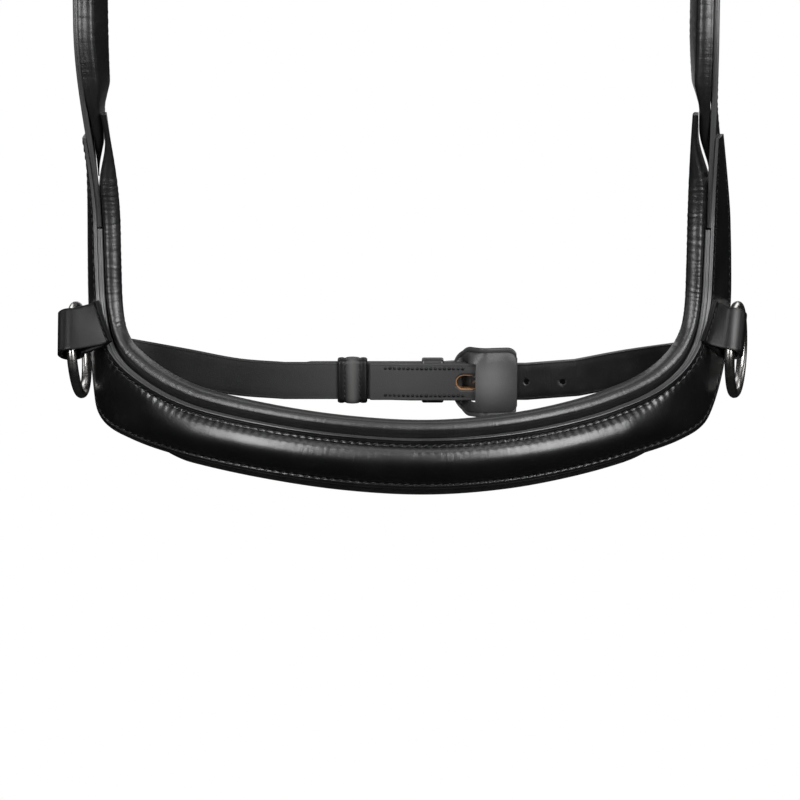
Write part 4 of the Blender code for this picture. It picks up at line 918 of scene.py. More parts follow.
def reinRing(side, tree):
    middle, axis, forward, outward = chapeFrame(side)
    rest = ring["rest"][side]
    forward = forward * math.cos(rest) + outward * math.sin(rest)
    centre = middle - forward * (ringRadius - sagitta / 2)
    name = f"{sideName[side]}ReinRing"
    mesh = grown(name, tree, bpy.data.meshes.new("start"), {
        "Radius": ringRadius * mm, "Wire": ring["wire"] / 2 * mm, "Around": ring["around"],
        "Sides": ring["sides"], "Finish": finish["steel"]})
    mesh.transform(axes(centre * mm, forward, axis))
    place(name, mesh, "steel", f"{sideName[side]}_ring", f"{sideName[side]}_rein_ring")


# Buckled joints: local X runs to the buckle's free end, local Y to the inside

buckle = {
    "bar": 1.5, "reach": 16, "drop": 2.6, "corner": 3, "slot": 6.6, "slotEnd": -11.1,
    "tongue": 1.1, "tongueEase": 0.05, "tongueOver": 1.5,
}
keeper = {
    "thick": 1.3, "chinRunning": (-63.8, 15), "chinFixed": (-23.2, 11),  # middle and length
    "edge": 1.2, "corner": 1.1, "groove": (0.26, 0.45), "pitch": 2.7, "firstStitch": 1.1, "stitchSink": 0.16,
}
hole = {
    "pitch": 18.3, "radius": 2.1, "fromBar": 5.9, "through": (-12, 12), "chinSlack": 2.2, "cheekSlack": 1.6,
}
chin = {
    "width": 19, "thick": 2.4, "back": 42, "height": 21, "endHeight": 37, "endInside": 185,
    "straight": 62, "bar": 36.4, "fold": 55, "billetTip": 57, "tipRound": 9, "holes": (-3, -2, 1, 2),
    "bend": ((24, 0.4, 0.125), (50, 2, 0.45)),  # past the straight part, forward, share of the rise
    "lead": (  # before the end, share of the rise, how deep behind the backing
        (26, 0.75, 19), (20.5, 0.93, 7.5), (12, 1, 1.2), (6, 1, 0.1), (0, 1, 0),
    ),
    "foldSewn": (-52, -5.5), "foldPitch": 2.3, "endSewn": 12, "endPitch": 2.8,
    "rim": 0.6, "rimDeep": 0.4, "rimEnd": -3, "paintedHighlight": (-40, 0), "highlightReach": (90, 200),
}
guard = {
    "thick": 1.8, "height": 35.5, "left": -12.6, "right": 19.4, "slot": (-7.2, -2.9), "ease": 1.1,
    "leftRound": 13, "leftShare": 0.8, "rightRound": 5, "softOver": 4.5, "border": (2.4, 0.3, 0.45),
    "paintedHighlight": (6, -1.5), "highlightReach": (15, 17),
}
sewnCrease = ((1.3, 0.08, 0.2), (2.6, 0.16, 0.45))
faintCrease = ((1.4, 0.05, 0.3),)


def loopRadius(thick):
    return buckle["bar"] + fit["seat"] + thick / 2


def foldOffset(thick):
    return (keeper["thick"] + 2 * fit["seat"] + thick) / 2


def underOffset(thick):
    return -(foldOffset(thick) + thick + fit["seat"])


def beyondOffset(thick):
    return -buckle["drop"] + buckle["bar"] + fit["seat"] + thick / 2


def foldedEnd(thick, length):
    # From the strap round the buckle's bar, and back to where the fold ends
    offset, radius = foldOffset(thick), loopRadius(thick)
    turns = [math.radians(-110 + 220 * k / 28) for k in range(29)]
    path = [(-12, -offset), (-9, -offset), (-6, -offset)]
    path += [(radius * math.cos(angle), radius * math.sin(angle)) for angle in turns]
    drop = offset - thick / 2 - fit["seat"] / 2
    path += [(x, offset) for x in (-6, -9, -12, -0.4 * length, -0.62 * length)]
    path.append((-0.72 * length, offset - drop))
    return path + [(-share * length, offset - 2 * drop) for share in (0.8, 0.9, 1)]


def billetCrossing(thick, lobe):
    under, beyond = underOffset(thick), beyondOffset(thick)
    bar = -(loopRadius(thick) + thick + fit["seat"])
    out = under - lobe
    return [
        (-26, under), (-17.4, mix(under, out, 0.06)), (-15.2, mix(under, out, 0.55)), (-13, out),
        (-6.5, out), (-2, min(bar, mix(bar, out, 0.5))), (1.5, bar), (4.2, mix(bar, beyond, 0.24)),
        (7.4, mix(bar, beyond, 0.72)), (10.5, mix(bar, beyond, 0.97)), (14, beyond),
        (buckle["reach"] + 3, beyond), (buckle["reach"] + 8, beyond),
    ]


def placed(matrix, path):
    return [matrix @ Vector((*spot, 0)) for spot in path]


def tube(points, radius, sides=14):
    count = len(points)
    plane = (points[1] - points[0]).cross(points[count // 3] - points[0]).normalized()
    turns = [2 * math.pi * k / sides for k in range(sides)]
    rings = []
    for i, point in enumerate(points):
        side = (points[(i + 1) % count] - points[i - 1]).normalized().cross(plane)
        rings.append([point + (side * math.cos(a) + plane * math.sin(a)) * radius for a in turns])
    return rings


def buckleFrame(name, matrix, width, body, node):
    half = width / 2 + fit["seat"] + fit["slide"] + buckle["bar"]
    corner, reach = buckle["corner"], buckle["reach"]
    points = []
    spots = ((corner, -half + corner), (reach - corner, -half + corner))
    spots += ((reach - corner, half - corner), (corner, half - corner))
    for quarter, (x, y) in enumerate(spots):
        for k in range(13):
            angle = math.radians(180 + 90 * quarter + 90 * k / 12)
            along, across = x + corner * math.cos(angle), y + corner * math.sin(angle)
            points.append(matrix @ Vector((along, -buckle["drop"] * along / reach, across)))
    skinned(name, tube(points, buckle["bar"]), "steel", body, node, closedRun=True)


def buckleTongue(name, matrix, body, node):
    # An open eye round the bar, and a shank that rests on the frame
    eye = buckle["bar"] + fit["pivot"] + buckle["tongue"]
    drop = buckle["drop"] + buckle["bar"] + fit["seat"] + buckle["tongue"] + buckle["tongueEase"]
    turns = [math.radians(-110 - 290 * (1 - k / 36)) for k in range(37)]
    path = [(eye * math.cos(angle), eye * math.sin(angle)) for angle in turns]
    x, y = path[-1]
    tip = buckle["reach"] + buckle["tongueOver"]
    for share in (k / 15 for k in range(1, 16)):
        path.append((mix(x, tip, share), mix(y, -drop, eased(share) ** 0.8)))
    across = matrix.to_3x3() @ up
    spots = placed(matrix, path)
    rings = []
    for i, point in enumerate(spots):
        normal = heading(spots, i).normalized().cross(across).normalized()
        near = min(i, len(spots) - 1 - i)
        slim = (0.45, 0.8, 0.95)[near] if near < 3 else 1.0
        section = []
        for angle in (2 * math.pi * k / 14 for k in range(14)):
            a, b = (math.copysign(abs(v) ** 0.7, v) for v in (math.cos(angle), math.sin(angle)))
            section.append(point + (across * a + normal * b) * buckle["tongue"] * slim)
        rings.append(section)
    skinned(name, rings, "steel", body, node, sharp=60)


def keeperLoop(name, matrix, xSpan, ySpan, half, body, node, look, wall=keeper["thick"], rows=1.9, bulge=0.2):
    # rows is how far the stitches lie from the ends, 0 for none
    low, high = ySpan
    length = xSpan[1] - xSpan[0]
    starts = [0.0, 0.06, 0.2, 0.42, 0.7, 1.0, 1.4]
    spots = starts + [mix(starts[-1], length - starts[-1], k / 24) for k in range(1, 24)]
    whole = [(0.3, 0.0)]
    for x in spots + [length - x for x in reversed(starts)]:
        near = min(x, length - x)
        corner = max(0.0, 1 - near / keeper["edge"])
        out = wall * (0.35 + 0.65 * math.sqrt(1 - corner**2))
        if rows:
            depth, width = keeper["groove"]
            share = (x - length / 2) / (length / 2 - rows)
            out += bulge * max(0.0, 1 - share**2) + 0.3 * bulge * bell(near - 0.55 * rows, 0.3 * rows)
            out -= depth * bell(near - rows, width)
        whole.append((x, out))
    whole += [(length - 0.3, 0.0)] + [(share * length, 0.0) for share in (0.75, 0.5, 0.25)]
    rings = []
    for x, extra in whole:
        loop = []
        rounding = keeper["corner"] + extra
        for quarter, (sy, sz) in enumerate(((1, 1), (-1, 1), (-1, -1), (1, -1))):
            cy = (high + extra - rounding) if sy > 0 else (low - extra + rounding)
            cz = sz * (half + extra - rounding)
            for angle in (math.radians(90 * quarter + 90 * k / 8) for k in range(9)):
                y, z = cy + rounding * math.cos(angle), cz + rounding * math.sin(angle)
                loop.append(matrix @ Vector((xSpan[0] + x, y, z)))
        rings.append(loop)
    mesh = ringMesh(name, rings, closedRun=True)
    # Painted highlight: the sliding keeper is lightened down its middle
    if look == "plain":
        paintHighlight(mesh, matrix, (sum(xSpan) / 2, 0), (0.3 * length, 3 * half))
    place(name, mesh, look, body, node)
    if not rows:
        return
    for sy in (-1, 1):
        level = (high + wall) if sy > 0 else (low - wall)
        normals = [matrix.to_3x3() @ Vector((0, sy, 0))] * 13
        for x in (xSpan[0] + rows, xSpan[1] - rows):
            row = [matrix @ Vector((x, level, mix(-half + 0.8, half - 0.8, k / 12))) for k in range(13)]
            sew(row, normals, body, "fine", keeper["pitch"], keeper["firstStitch"], keeper["stitchSink"])


def span(middle, length):
    return middle - length / 2, middle + length / 2


def chinMatrix():
    return axes(nosePoint(chin["bar"], chin["back"], chin["height"]), Vector((1, 0, 0)), Vector((0, -1, 0)))


def chinRoute(side):
    # From the straight part behind the nose up to the inside of the noseband's arm
    inside = -band["face"] - 2 * fit["seat"] - band["backing"] - chin["thick"] / 2
    end = chin["endInside"] + band["armShift"][side]
    low, high, flat = chin["height"], chin["endHeight"], side * chin["straight"]
    route = [nosePoint(flat, chin["back"], low)]
    for far, forward, share in chin["bend"]:
        route.append(nosePoint(flat + side * far, chin["back"] - forward, mix(low, high, share)))
    for near, share, deep in chin["lead"]:
        route.append(wrap(side * (end + near), mix(low, high, share), inside - deep))
    return route


def stationsOf(points, half, across=up, tip=0.0):
    # The line starts in a rounded tip of the length given
    stations = []
    for point, run in zip(points, runsAlong(points)):
        slim = max(0.3, roundEnd(1 - run / tip, 0.0)) if run < tip else 1.0
        stations.append((point, across, half * slim))
    return stations


def cutter(rings, look):
    mesh = ringMesh("cutter", rings)
    mesh.materials.append(finish[look])
    return linked("cutter", mesh)


def carve(mesh, look, cutters, folded=False):
    # Each cutter leaves its own look on the walls that it cuts
    mesh.materials.append(finish[look])
    obj = linked("carved", mesh)
    for tool in cutters:
        modifier = obj.modifiers.new("carve", "BOOLEAN")
        modifier.operation, modifier.solver, modifier.object = "DIFFERENCE", "EXACT", tool
        modifier.material_mode = "TRANSFER"
        modifier.use_self = folded
    result = settled(obj, mesh.name)
    for tool in cutters:
        bpy.data.objects.remove(tool)
    return result


def boxCutter(matrix, low, high, look="raw"):
    sides = ((low[1], low[2]), (low[1], high[2]), (high[1], high[2]), (high[1], low[2]))
    return cutter([[matrix @ Vector((x, y, z)) for y, z in sides] for x in (low[0], high[0])], look)


def roundCutter(matrix, x, radius, stretch=0.0, middle=None, look="punched", deep=hole["through"]):
    # A hole right through, or with a middle one that is open at both faces and closed by a web
    sides = ((deep[0], 1.0), (deep[1], 1.0))
    # The web leaves only a pinhole, so no background shows through and the hole stays dark: a sheet standing
    # for the shade in the hole
    if middle is not None:
        sides = ((deep[0], 0.85), (middle - 1.4, 0.85), (middle - 0.5, 0.04),
                 (middle + 0.5, 0.04), (middle + 1.4, 0.85), (deep[1], 0.85))
    rings = []
    for y, share in sides:
        spots = []
        for angle in (2 * math.pi * (k + 0.5) / 28 for k in range(28)):
            shift = math.copysign(stretch, math.cos(angle))
            across, along = math.cos(angle) * radius * share + shift, math.sin(angle) * radius * share
            spots.append(matrix @ Vector((x + across, y, along)))
        rings.append(spots)
    return cutter(rings, look)


def finer(points, step=2.5):
    result = [points[0]]
    for a, b in zip(points, points[1:]):
        parts = max(1, round((b - a).length / step))
        result += [a.lerp(b, k / parts) for k in range(1, parts + 1)]
    return result


def chinBuckleStrap():
    matrix, thick = chinMatrix(), chin["thick"]
    offset, reach = foldOffset(thick), loopRadius(thick) + thick
    route = chinRoute(-1)
    route = [p + Vector((0, offset, 0)) for p in route[:3]] + route[3:]
    points = finer(spline(route, 14)[::-1] + placed(matrix, foldedEnd(thick, chin["fold"])))
    name = "chinStrapBuckleSide"
    mesh, rows = ribbon(name, stationsOf(points, chin["width"] / 2), thick, faintCrease)
    slot = buckle["slot"] / 2
    start, wide = buckle["slotEnd"] + slot, slot + chin["rim"]
    rim = (offset + thick / 2 - chin["rimDeep"], reach + 2)
    mesh = carve(mesh, "strap", [
        boxCutter(matrix, (start, -reach, -slot), (reach, reach, slot)),
        roundCutter(matrix, start, slot, look="raw"),
        boxCutter(matrix, (start, rim[0], -wide), (chin["rimEnd"], rim[1], wide)),
        roundCutter(matrix, start, wide, look="raw", deep=rim)])
    # Painted highlight: the buckle strap is lightened about its middle
    paintHighlight(mesh, matrix, chin["paintedHighlight"], chin["highlightReach"])
    place(name, mesh, "strap", "bridle", "chin_buckle_strap")
    low, high = ((matrix @ Vector((x, 0, 0))).x for x in chin["foldSewn"])
    back = [i for i, row in enumerate(rows) if low < row[0].x < high and row[2].y > 0.5]
    sewRibbon(rows, -1, thick, "bridle", "dark", chin["foldPitch"], back[0], back[-1] + 1)
    sewRibbon(rows, 1, thick, "bridle", "fine", chin["endPitch"], 0, chin["endSewn"])


def chinBillet():
    matrix, thick = chinMatrix(), chin["thick"]
    crossing = spline(placed(matrix, billetCrossing(thick, guard["thick"] + fit["seat"])), 5)
    first = crossing[0]
    start = Vector((nosePoint(-chin["billetTip"], 0, 0).x, first.y, first.z))
    shares = (0, 0.004, 0.012, 0.025, 0.045, 0.07, 0.1, 0.13, 0.17, 0.25, 0.4, 0.6, 0.8)
    points = [start.lerp(first, s) for s in shares] + finer(crossing + spline(chinRoute(1)[1:], 14))
    stations = stationsOf(points, chin["width"] / 2, tip=chin["tipRound"])
    mesh, rows = ribbon("chinStrapBillet", stations, thick, faintCrease)
    cutters = [roundCutter(matrix, hole["fromBar"], hole["radius"], hole["chinSlack"])]
    for n in chin["holes"]:
        middle = beyondOffset(thick) if n > 0 else underOffset(thick)
        x = hole["fromBar"] + n * hole["pitch"]
        cutters.append(roundCutter(matrix, x, hole["radius"], middle=middle))
    place("chinStrapBillet", carve(mesh, "bridle", cutters), "bridle", "bridle", "chin_billet")
    sewRibbon(rows, -1, thick, "bridle", "fine", chin["endPitch"], len(rows) - chin["endSewn"])


def chinKeepers():
    matrix, thick, half = chinMatrix(), chin["thick"], chin["width"] / 2 + fit["slide"]
    outside = underOffset(thick) - thick / 2 - fit["slide"]
    inside = thick / 2 - foldOffset(thick)
    keeperLoop("chinSlidingKeeper", matrix, span(*keeper["chinRunning"]), (outside, inside + fit["slide"]),
               half, "chin_keeper", "chin_running_keeper", "plain", rows=3.7, bulge=0.45)
    keeperLoop("chinSewnKeeper", matrix, span(*keeper["chinFixed"]), (outside, inside + fit["seat"]),
               half, "bridle", "chin_fixed_keeper", "bridle", rows=0)


def buckleGuard():
    # The leather behind the buckle, which the strap goes through
    matrix, thick, half = chinMatrix(), chin["thick"], guard["thick"] / 2
    left, right, (slotLeft, slotRight) = guard["left"], guard["right"], guard["slot"]
    behind = -(foldOffset(thick) + thick / 2 + fit["seat"] + half)
    before = loopRadius(thick) + thick / 2 + fit["seat"] + half
    end = beyondOffset(thick) + thick / 2 + fit["seat"] + half
    route = [
        (left, behind), (mix(left, slotLeft, 0.5), behind), (slotLeft - 0.4, behind + 0.1),
        (mix(slotLeft, slotRight, 0.5), mix(behind, before, 0.5)), (slotRight, before), (3, before + 0.1),
        (10, mix(before, end, 0.55)), (right - 3, end + 0.3), (right, end),
    ]
    points = spline(placed(matrix, route), 6)
    runs = runsAlong(points)
    stations = []
    for point, run in zip(points, runs):
        fromLeft = 1 - roundEnd(1 - run / guard["leftRound"], 0.0)
        fromRight = 1 - roundEnd(1 - (runs[-1] - run) / guard["rightRound"], 0.0)
        width = guard["height"] / 2 - guard["leftRound"] * guard["leftShare"] * fromLeft
        stations.append((point, up, width - guard["rightRound"] * fromRight))
    inverse = matrix.inverted()
    strapHalf = chin["width"] / 2 + fit["seat"]

    def gentle(centre, spot):
        # Past the strap's edges the leather crosses from back to front in a softer curve
        x, y, _ = inverse @ centre
        if x > 3:
            return spot
        share = eased((abs(spot.z - matrix.translation.z) - strapHalf) / guard["softOver"])
        soft = mix(behind, before, rising(x, left, 3.5))
        return spot + Vector((0, -share * (soft - y), 0))

    mesh, _ = ribbon("buckleGuardTab", stations, guard["thick"], (guard["border"],), warp=gentle)
    low = (slotLeft - guard["ease"], hole["through"][0], -strapHalf)
    high = (slotRight + guard["ease"], hole["through"][1], strapHalf)
    mesh = carve(mesh, "sheen", [boxCutter(matrix, low, high, "sheen")], True)
    # Painted highlight on the middle of the guard
    paintHighlight(mesh, matrix, guard["paintedHighlight"], guard["highlightReach"])
    place("buckleGuardTab", mesh, "sheen", "bridle", "buckle_guard")


# Cheek straps

def cheekFrame(side, height):
    base, free = armLine(side, height)
    turn = mix(nose["turn"][side], cheek["turn"][side], free)
    along = Vector((side * math.cos(turn), math.sin(turn), 0))
    return hung(side, base, height), along, Vector((side * math.sin(turn), -math.cos(turn), 0))


def cheekMatrix(side):
    spot, _, outward = cheekFrame(side, cheek["bar"])
    return axes(spot - outward * foldOffset(cheek["thick"]), up, -outward)


def cheekStrap(side):
    matrix, thick, half = cheekMatrix(side), cheek["thick"], cheek["width"] / 2
    stations = []
    for k in range(cheek["steps"] + 1):
        height = mix(band["backingTop"] + fit["seat"], cheek["bar"] - cheek["belowBar"], k / cheek["steps"])
        spot, along, _ = cheekFrame(side, height)
        stations.append((spot, along, half))
    _, along, _ = cheekFrame(side, cheek["bar"])
    inner = placed(matrix, foldedEnd(thick, cheek["padBelowBar"] - 2))
    stations += [(point, along, half) for point in finer(inner)]
    name = f"{sideName[side]}CheekStrap"
    mesh, rows = ribbon(name, stations, thick, sewnCrease, 2)
    reach, slot = loopRadius(thick) + thick, buckle["slot"] / 2
    box = boxCutter(matrix, (buckle["slotEnd"], -reach, -slot), (reach, reach, slot))
    mesh = carve(mesh, "bridle", [box])
    place(name, mesh, "bridle", "bridle", f"{sideName[side]}_cheek_strap")
    face = 1 if rows[10][2].x * side > 0 else -1
    sewRibbon(rows, face, thick, "bridle", "medium", cheek["pitch"], *cheek["sewn"])


def padSection(half, face, deep, edge):
    mid = (face + deep) / 2
    return [
        (-half + 1.2, face), (0, face), (half - 1.2, face), (half, mix(face, mid, 0.5)),
        (half, mix(mid, deep, 0.3)), (half - edge, mix(mid, deep, 0.88)), (half * 0.5, deep),
        (-half * 0.5, deep), (-half + edge, mix(mid, deep, 0.88)), (-half, mix(mid, deep, 0.3)),
        (-half, mix(face, mid, 0.5)),
    ]


def padRing(section, run, amount, seed, spotOf, faceOf=max):
    # faceOf finds the flat face, which lies on a strap and has no wrinkles
    smooth = closedSpline(section, 5)
    face = faceOf(p.y for p in smooth)
    return wrinkled(smooth, lambda spot: eased(abs(spot.y - face) / 2), run, amount, seed, 0.48, 0.3, spotOf)


def cheekPad(side):
    rings, count = [], cheek["padSteps"]
    top, point = cheek["bar"] - cheek["padBelowBar"], cheek["padPoint"]
    face = -cheek["thick"] / 2 - fit["seat"]
    for k in range(count + 1):
        height = mix(point, top, k / count)
        spot, along, outward = cheekFrame(side, height)
        full = rising(height, point, cheek["padFull"])
        narrow = rising(height, point, lining["tabBase"] + 2)
        rest = rising(height, lining["top"] + 1, cheek["padFull"])
        thick = mix(cheek["padTip"], cheek["padNarrow"], narrow) + (cheek["pad"] - cheek["padNarrow"]) * rest
        end = roundEnd((height - top + cheek["padEnd"]) / cheek["padEnd"], 0.06)
        half = cheek["padWidth"] / 2 * mix(0.3, 1, full) * mix(0.8, 1, end)
        section = padSection(half, face, face - thick * mix(0.55, 1, end), 1.6)
        rings.append(padRing(section, height, cheek["wrinkle"] * full, cheek["seed"],
                             lambda a, out: spot + along * a + outward * out))
    name = f"{sideName[side]}CheekLining"
    skinned(name, rings, "lining", "bridle", f"{sideName[side]}_cheek_pad")


def cheekKeepers(side):
    matrix, thick, name = cheekMatrix(side), cheek["thick"], sideName[side]
    half, offset = cheek["width"] / 2 + fit["slide"], foldOffset(thick)
    out = -(offset + thick / 2 + fit["seat"] + crown["thick"]) - fit["slide"]
    keeperLoop(f"{name}SewnKeeper", matrix, span(cheek["fixedKeeper"], cheek["keeperLength"]),
               (out, -offset + thick / 2 + fit["seat"]), half, "bridle", f"{name}_fixed_keeper", "matt",
               rows=0)
    keeperLoop(f"{name}SlidingKeeper", matrix, span(cheek["runningKeeper"], cheek["keeperLength"]),
               (out, offset + thick / 2 + fit["slide"]), half, f"{name}_keeper", f"{name}_running_keeper",
               "matt")


# Headpiece and browband

crown = {
    "thick": 3.4, "width": 36, "billet": 19, "tipRound": 9, "springAboveBrow": 24, "steps": 128,
    "holes": (-3, -2, -1, 0, 1), "pitch": 3.8, "unsewn": 6,
    "pad": 8, "padWidth": 44, "padSkip": 28, "padEnd": 0.14, "wrinkle": 0.35, "seed": 8.3,
}
brow = {
    "aboveBar": 50, "width": 22, "thick": 3, "reach": 74, "sewn": 18, "turnIn": 14, "fine": 4, "pitch": 3.8,
    "pad": 6, "padWidth": 26, "padSkip": 18, "padEnd": 0.15, "wrinkle": 0.35, "seed": 2.2,
    "loopHeight": 28, "loopThick": 2.2,
}


def crownArch():
    spring = cheek["bar"] + brow["aboveBar"] + crown["springAboveBrow"] - nose["rise"]
    rise = crown["pad"] + fit["seat"] + crown["thick"] / 2 - spring
    ends = {side: cheekMatrix(side) @ Vector((0, beyondOffset(crown["thick"]), 0)) for side in (-1, 1)}
    points = []
    for k in range(crown["steps"] + 1):
        angle = math.pi * (k / crown["steps"] - 0.5)
        end, far = ends[-1 if angle < 0 else 1], math.sin(angle)
        points.append(Vector((abs(far) * end.x, end.y * far**2, spring + rise * math.cos(angle))))
    return points


def headpiece():
    arch, thick, legs = crownArch(), crown["thick"], {}
    for side in (-1, 1):
        matrix = cheekMatrix(side)
        _, along, _ = cheekFrame(side, cheek["bar"])
        crossing = placed(matrix, [tuple(p) for p in spline(billetCrossing(thick, 0), 5)])
        tip = matrix @ Vector((cheek["billetTip"], underOffset(thick), 0))
        shares = (0, 0.01, 0.03, 0.06, 0.1, 0.15, 0.2, 0.26, 0.35, 0.5, 0.65, 0.8)
        points = [tip.lerp(crossing[0], s) for s in shares] + crossing
        points += [points[-1].lerp(arch[0 if side < 0 else -1], s / 10) for s in range(1, 10)]
        legs[side] = stationsOf(points, crown["billet"] / 2, along, tip=crown["tipRound"])
    over = []
    for k, point in enumerate(arch):
        share = k / (len(arch) - 1)
        middle = 1 - abs(2 * share - 1)
        across = legs[-1][0][1].lerp(legs[1][0][1], share).lerp(Vector((0, 1, 0)), eased(middle / 0.3))
        half = mix(crown["billet"], crown["width"], rising(middle, 0.05, 0.35)) / 2
        over.append((point, across.normalized(), half))
    mesh, rows = ribbon("headpieceStrap", legs[-1] + over + legs[1][::-1], thick, sewnCrease)
    cutters = []
    for side in (-1, 1):
        for n in crown["holes"]:
            x, slack = hole["fromBar"] + n * hole["pitch"], 0 if n else hole["cheekSlack"]
            cutters.append(roundCutter(cheekMatrix(side), x, hole["radius"], slack))
    place("headpieceStrap", carve(mesh, "matt", cutters), "matt", "bridle", "headpiece")
    first, end = len(legs[-1]) + crown["unsewn"], len(legs[-1] + over) - crown["unsewn"]
    face = 1 if rows[len(rows) // 2][2].z > 0 else -1
    sewRibbon(rows, face, thick, "bridle", "thick", crown["pitch"], first, end)


def crownPad():
    arch, skip, steps = crownArch(), crown["padSkip"], crown["steps"]
    runs, face = runsAlong(arch), crown["thick"] / 2 + fit["seat"]
    rings = []
    for k in range(skip, steps + 1 - skip):
        inward = Vector((0, 1, 0)).cross(heading(arch, k)).normalized()
        share = abs(2 * k / steps - 1) * steps / (steps - 2 * skip)
        end = roundEnd((share - 1) / crown["padEnd"] + 1, 0.05)
        half = crown["padWidth"] / 2 * mix(0.7, 1, end)
        section = padSection(half, face, face + crown["pad"] * mix(0.45, 1, end), 2)
        rings.append(padRing(section, runs[k] - runs[skip - 1], crown["wrinkle"], crown["seed"],
                             lambda a, out: arch[k] + Vector((0, a, 0)) + inward * out, min))
    skinned("crownLining", rings, "lining", "bridle", "crown_pad")


def browLine(drop=0.0):
    # The browband's middle line, or one that lies further inside by the drop
    out = beyondOffset(crown["thick"]) - crown["thick"] / 2 - fit["slide"]
    out -= brow["loopThick"] + fit["seat"] + brow["thick"] / 2
    edge = crown["billet"] / 2
    tabs, starts = [], []
    for side in (-1, 1):
        _, along, _ = cheekFrame(side, cheek["bar"])
        surface = cheekMatrix(side) @ Vector((brow["aboveBar"], out, 0))
        tabs.append([surface + along * mix(brow["sewn"] - edge, -edge, k / 6) for k in range(7)])
        starts.append(surface - along * brow["turnIn"])
    line = [tabs[0][-1]]
    for k in range(1, 24):
        angle = math.pi * k / 24
        base = starts[0].lerp(starts[1], (1 - math.cos(angle)) / 2)
        forward = (brow["reach"] + base.y) * math.sin(angle) ** 0.8
        line.append(Vector((base.x, base.y - forward, base.z)))
    line.append(tabs[1][-1])
    line = tabs[0][:-1] + spline(line, brow["fine"]) + tabs[1][-2::-1]
    return [p + up.cross(heading(line, k)).normalized() * drop for k, p in enumerate(line)]


def browbandPieces():
    stations = [(p, up, brow["width"] / 2) for p in browLine()]
    mesh, rows = ribbon("browbandStrap", stations, brow["thick"], sewnCrease, 2)
    place("browbandStrap", mesh, "bridle", "browband", "browband")
    face = 1 if rows[len(rows) // 2][2].y < 0 else -1
    sewRibbon(rows, face, brow["thick"], "browband", "thick", brow["pitch"], 2, len(rows) - 2)
    line = browLine(brow["thick"] / 2 + fit["seat"])[brow["padSkip"]:-brow["padSkip"]]
    rings = []
    for k, (point, run) in enumerate(zip(line, runsAlong(line))):
        inward = up.cross(heading(line, k)).normalized()
        share = abs(2 * k / (len(line) - 1) - 1)
        end = roundEnd((share - 1) / brow["padEnd"] + 1, 0.06)
        half = brow["padWidth"] / 2 * mix(0.75, 1, end)
        section = padSection(half, 0, brow["pad"] * mix(0.35, 1, end), 2)
        rings.append(padRing(section, run, brow["wrinkle"], brow["seed"],
                             lambda a, out: point + up * a + inward * out, min))
    skinned("browbandPad", rings, "lining", "browband", "browband_lining")
    for side in (-1, 1):
        keeperLoop(f"{sideName[side]}BrowLoop", cheekMatrix(side), span(brow["aboveBar"], brow["loopHeight"]),
                   span(beyondOffset(crown["thick"]), crown["thick"] + 2 * fit["slide"]),
                   crown["billet"] / 2 + fit["slide"], "browband", f"{sideName[side]}_browband_loop", "matt",
                   brow["loopThick"])


thread = {  # length, width and height of a stitch
    "thick": (3.3, 0.85, 0.75), "medium": (3.0, 0.78, 0.7), "fine": (2.4, 0.66, 0.62),
    "dark": (2.0, 1.7, 0.6),
    "slant": 0.28, "uneven": 0.08,
}


def stitches():
    tree = stitchTree()
    for number, ((body, kind), row) in enumerate(sorted(sewn.items())):
        mesh = bpy.data.meshes.new("holes")
        mesh.from_pydata([p * mm for p, _, _ in row], [], [])
        for label, index in (("sewNormal", 1), ("sewAlong", 2)):
            layer = mesh.attributes.new(label, "FLOAT_VECTOR", "POINT")
            layer.data.foreach_set("vector", [c for stitch in row for c in stitch[index]])
        name = f"{body}Stitches{number}".replace("_", "")
        look = "darkThread" if kind == "dark" else "thread"
        values = {label: size * mm for label, size in zip(("Length", "Width", "Height"), thread[kind])}
        values.update({"Slant": thread["slant"], "Uneven": thread["uneven"], "Seed": 4 + number})
        place(name, grown(name, tree, mesh, {**values, "Finish": finish[look]}), look, body)
        print(name, len(row), "stitches")


nosebandFace()
swellCore()
nosebandBacking()
nosebandLining()
print("noseband made")
wire = wireTree()
for side in (-1, 1):
    chapePiece(side)
    reinRing(side, wire)
    cheekStrap(side)
    cheekPad(side)
    cheekKeepers(side)
    name = sideName[side]
    buckleFrame(f"{name}Buckle", cheekMatrix(side), cheek["width"], f"{name}_frame", f"{name}_buckle_frame")
    buckleTongue(f"{name}Tongue", cheekMatrix(side), f"{name}_tongue", f"{name}_buckle_tongue")
print("rings and cheek straps made")
chinBuckleStrap()
chinBillet()
chinKeepers()
buckleGuard()
buckleFrame("chinBuckle", chinMatrix(), chin["width"], "chin_frame", "chin_buckle_frame")
buckleTongue("chinTongue", chinMatrix(), "chin_tongue", "chin_buckle_tongue")
print("chin strap made")
headpiece()
crownPad()
browbandPieces()
print("headpiece and browband made")
stitches()


# Floor, lights, background and camera

studio = {
    "floorDrop": 0.5, "floorSize": 0.75, "floorBack": 0.25, "floorSides": 96, "floorFade": (0.45, 0.97),
    "floorGlow": (0.8, 0.012), "floorTone": 0.86, "target": (0, 0, -0.40),
    "backdrop": 0.9, "behind": (0.965, 0.998), "over": (0.1, 0.9), "top": 0.08, "dim": 0.006,
    "boxes": (  # azimuth, elevation, distance, width, height, power
        (-34, 23, 1.3, 0.4, 1.2, 10.5),
        (33, 23, 1.3, 0.5, 1.2, 12.5),
        (0, 72, 1.3, 1.0, 0.35, 1.3),
        (-95, 20, 1.3, 0.3, 0.8, 1.2),
        (95, 20, 1.3, 0.3, 0.8, 1.2),
        (180, 60, 1.4, 1.2, 0.6, 1.2),
        (-150, 38, 1.5, 0.5, 0.9, 2.6),
        (150, 38, 1.5, 0.5, 0.9, 2.6),
    ),
}


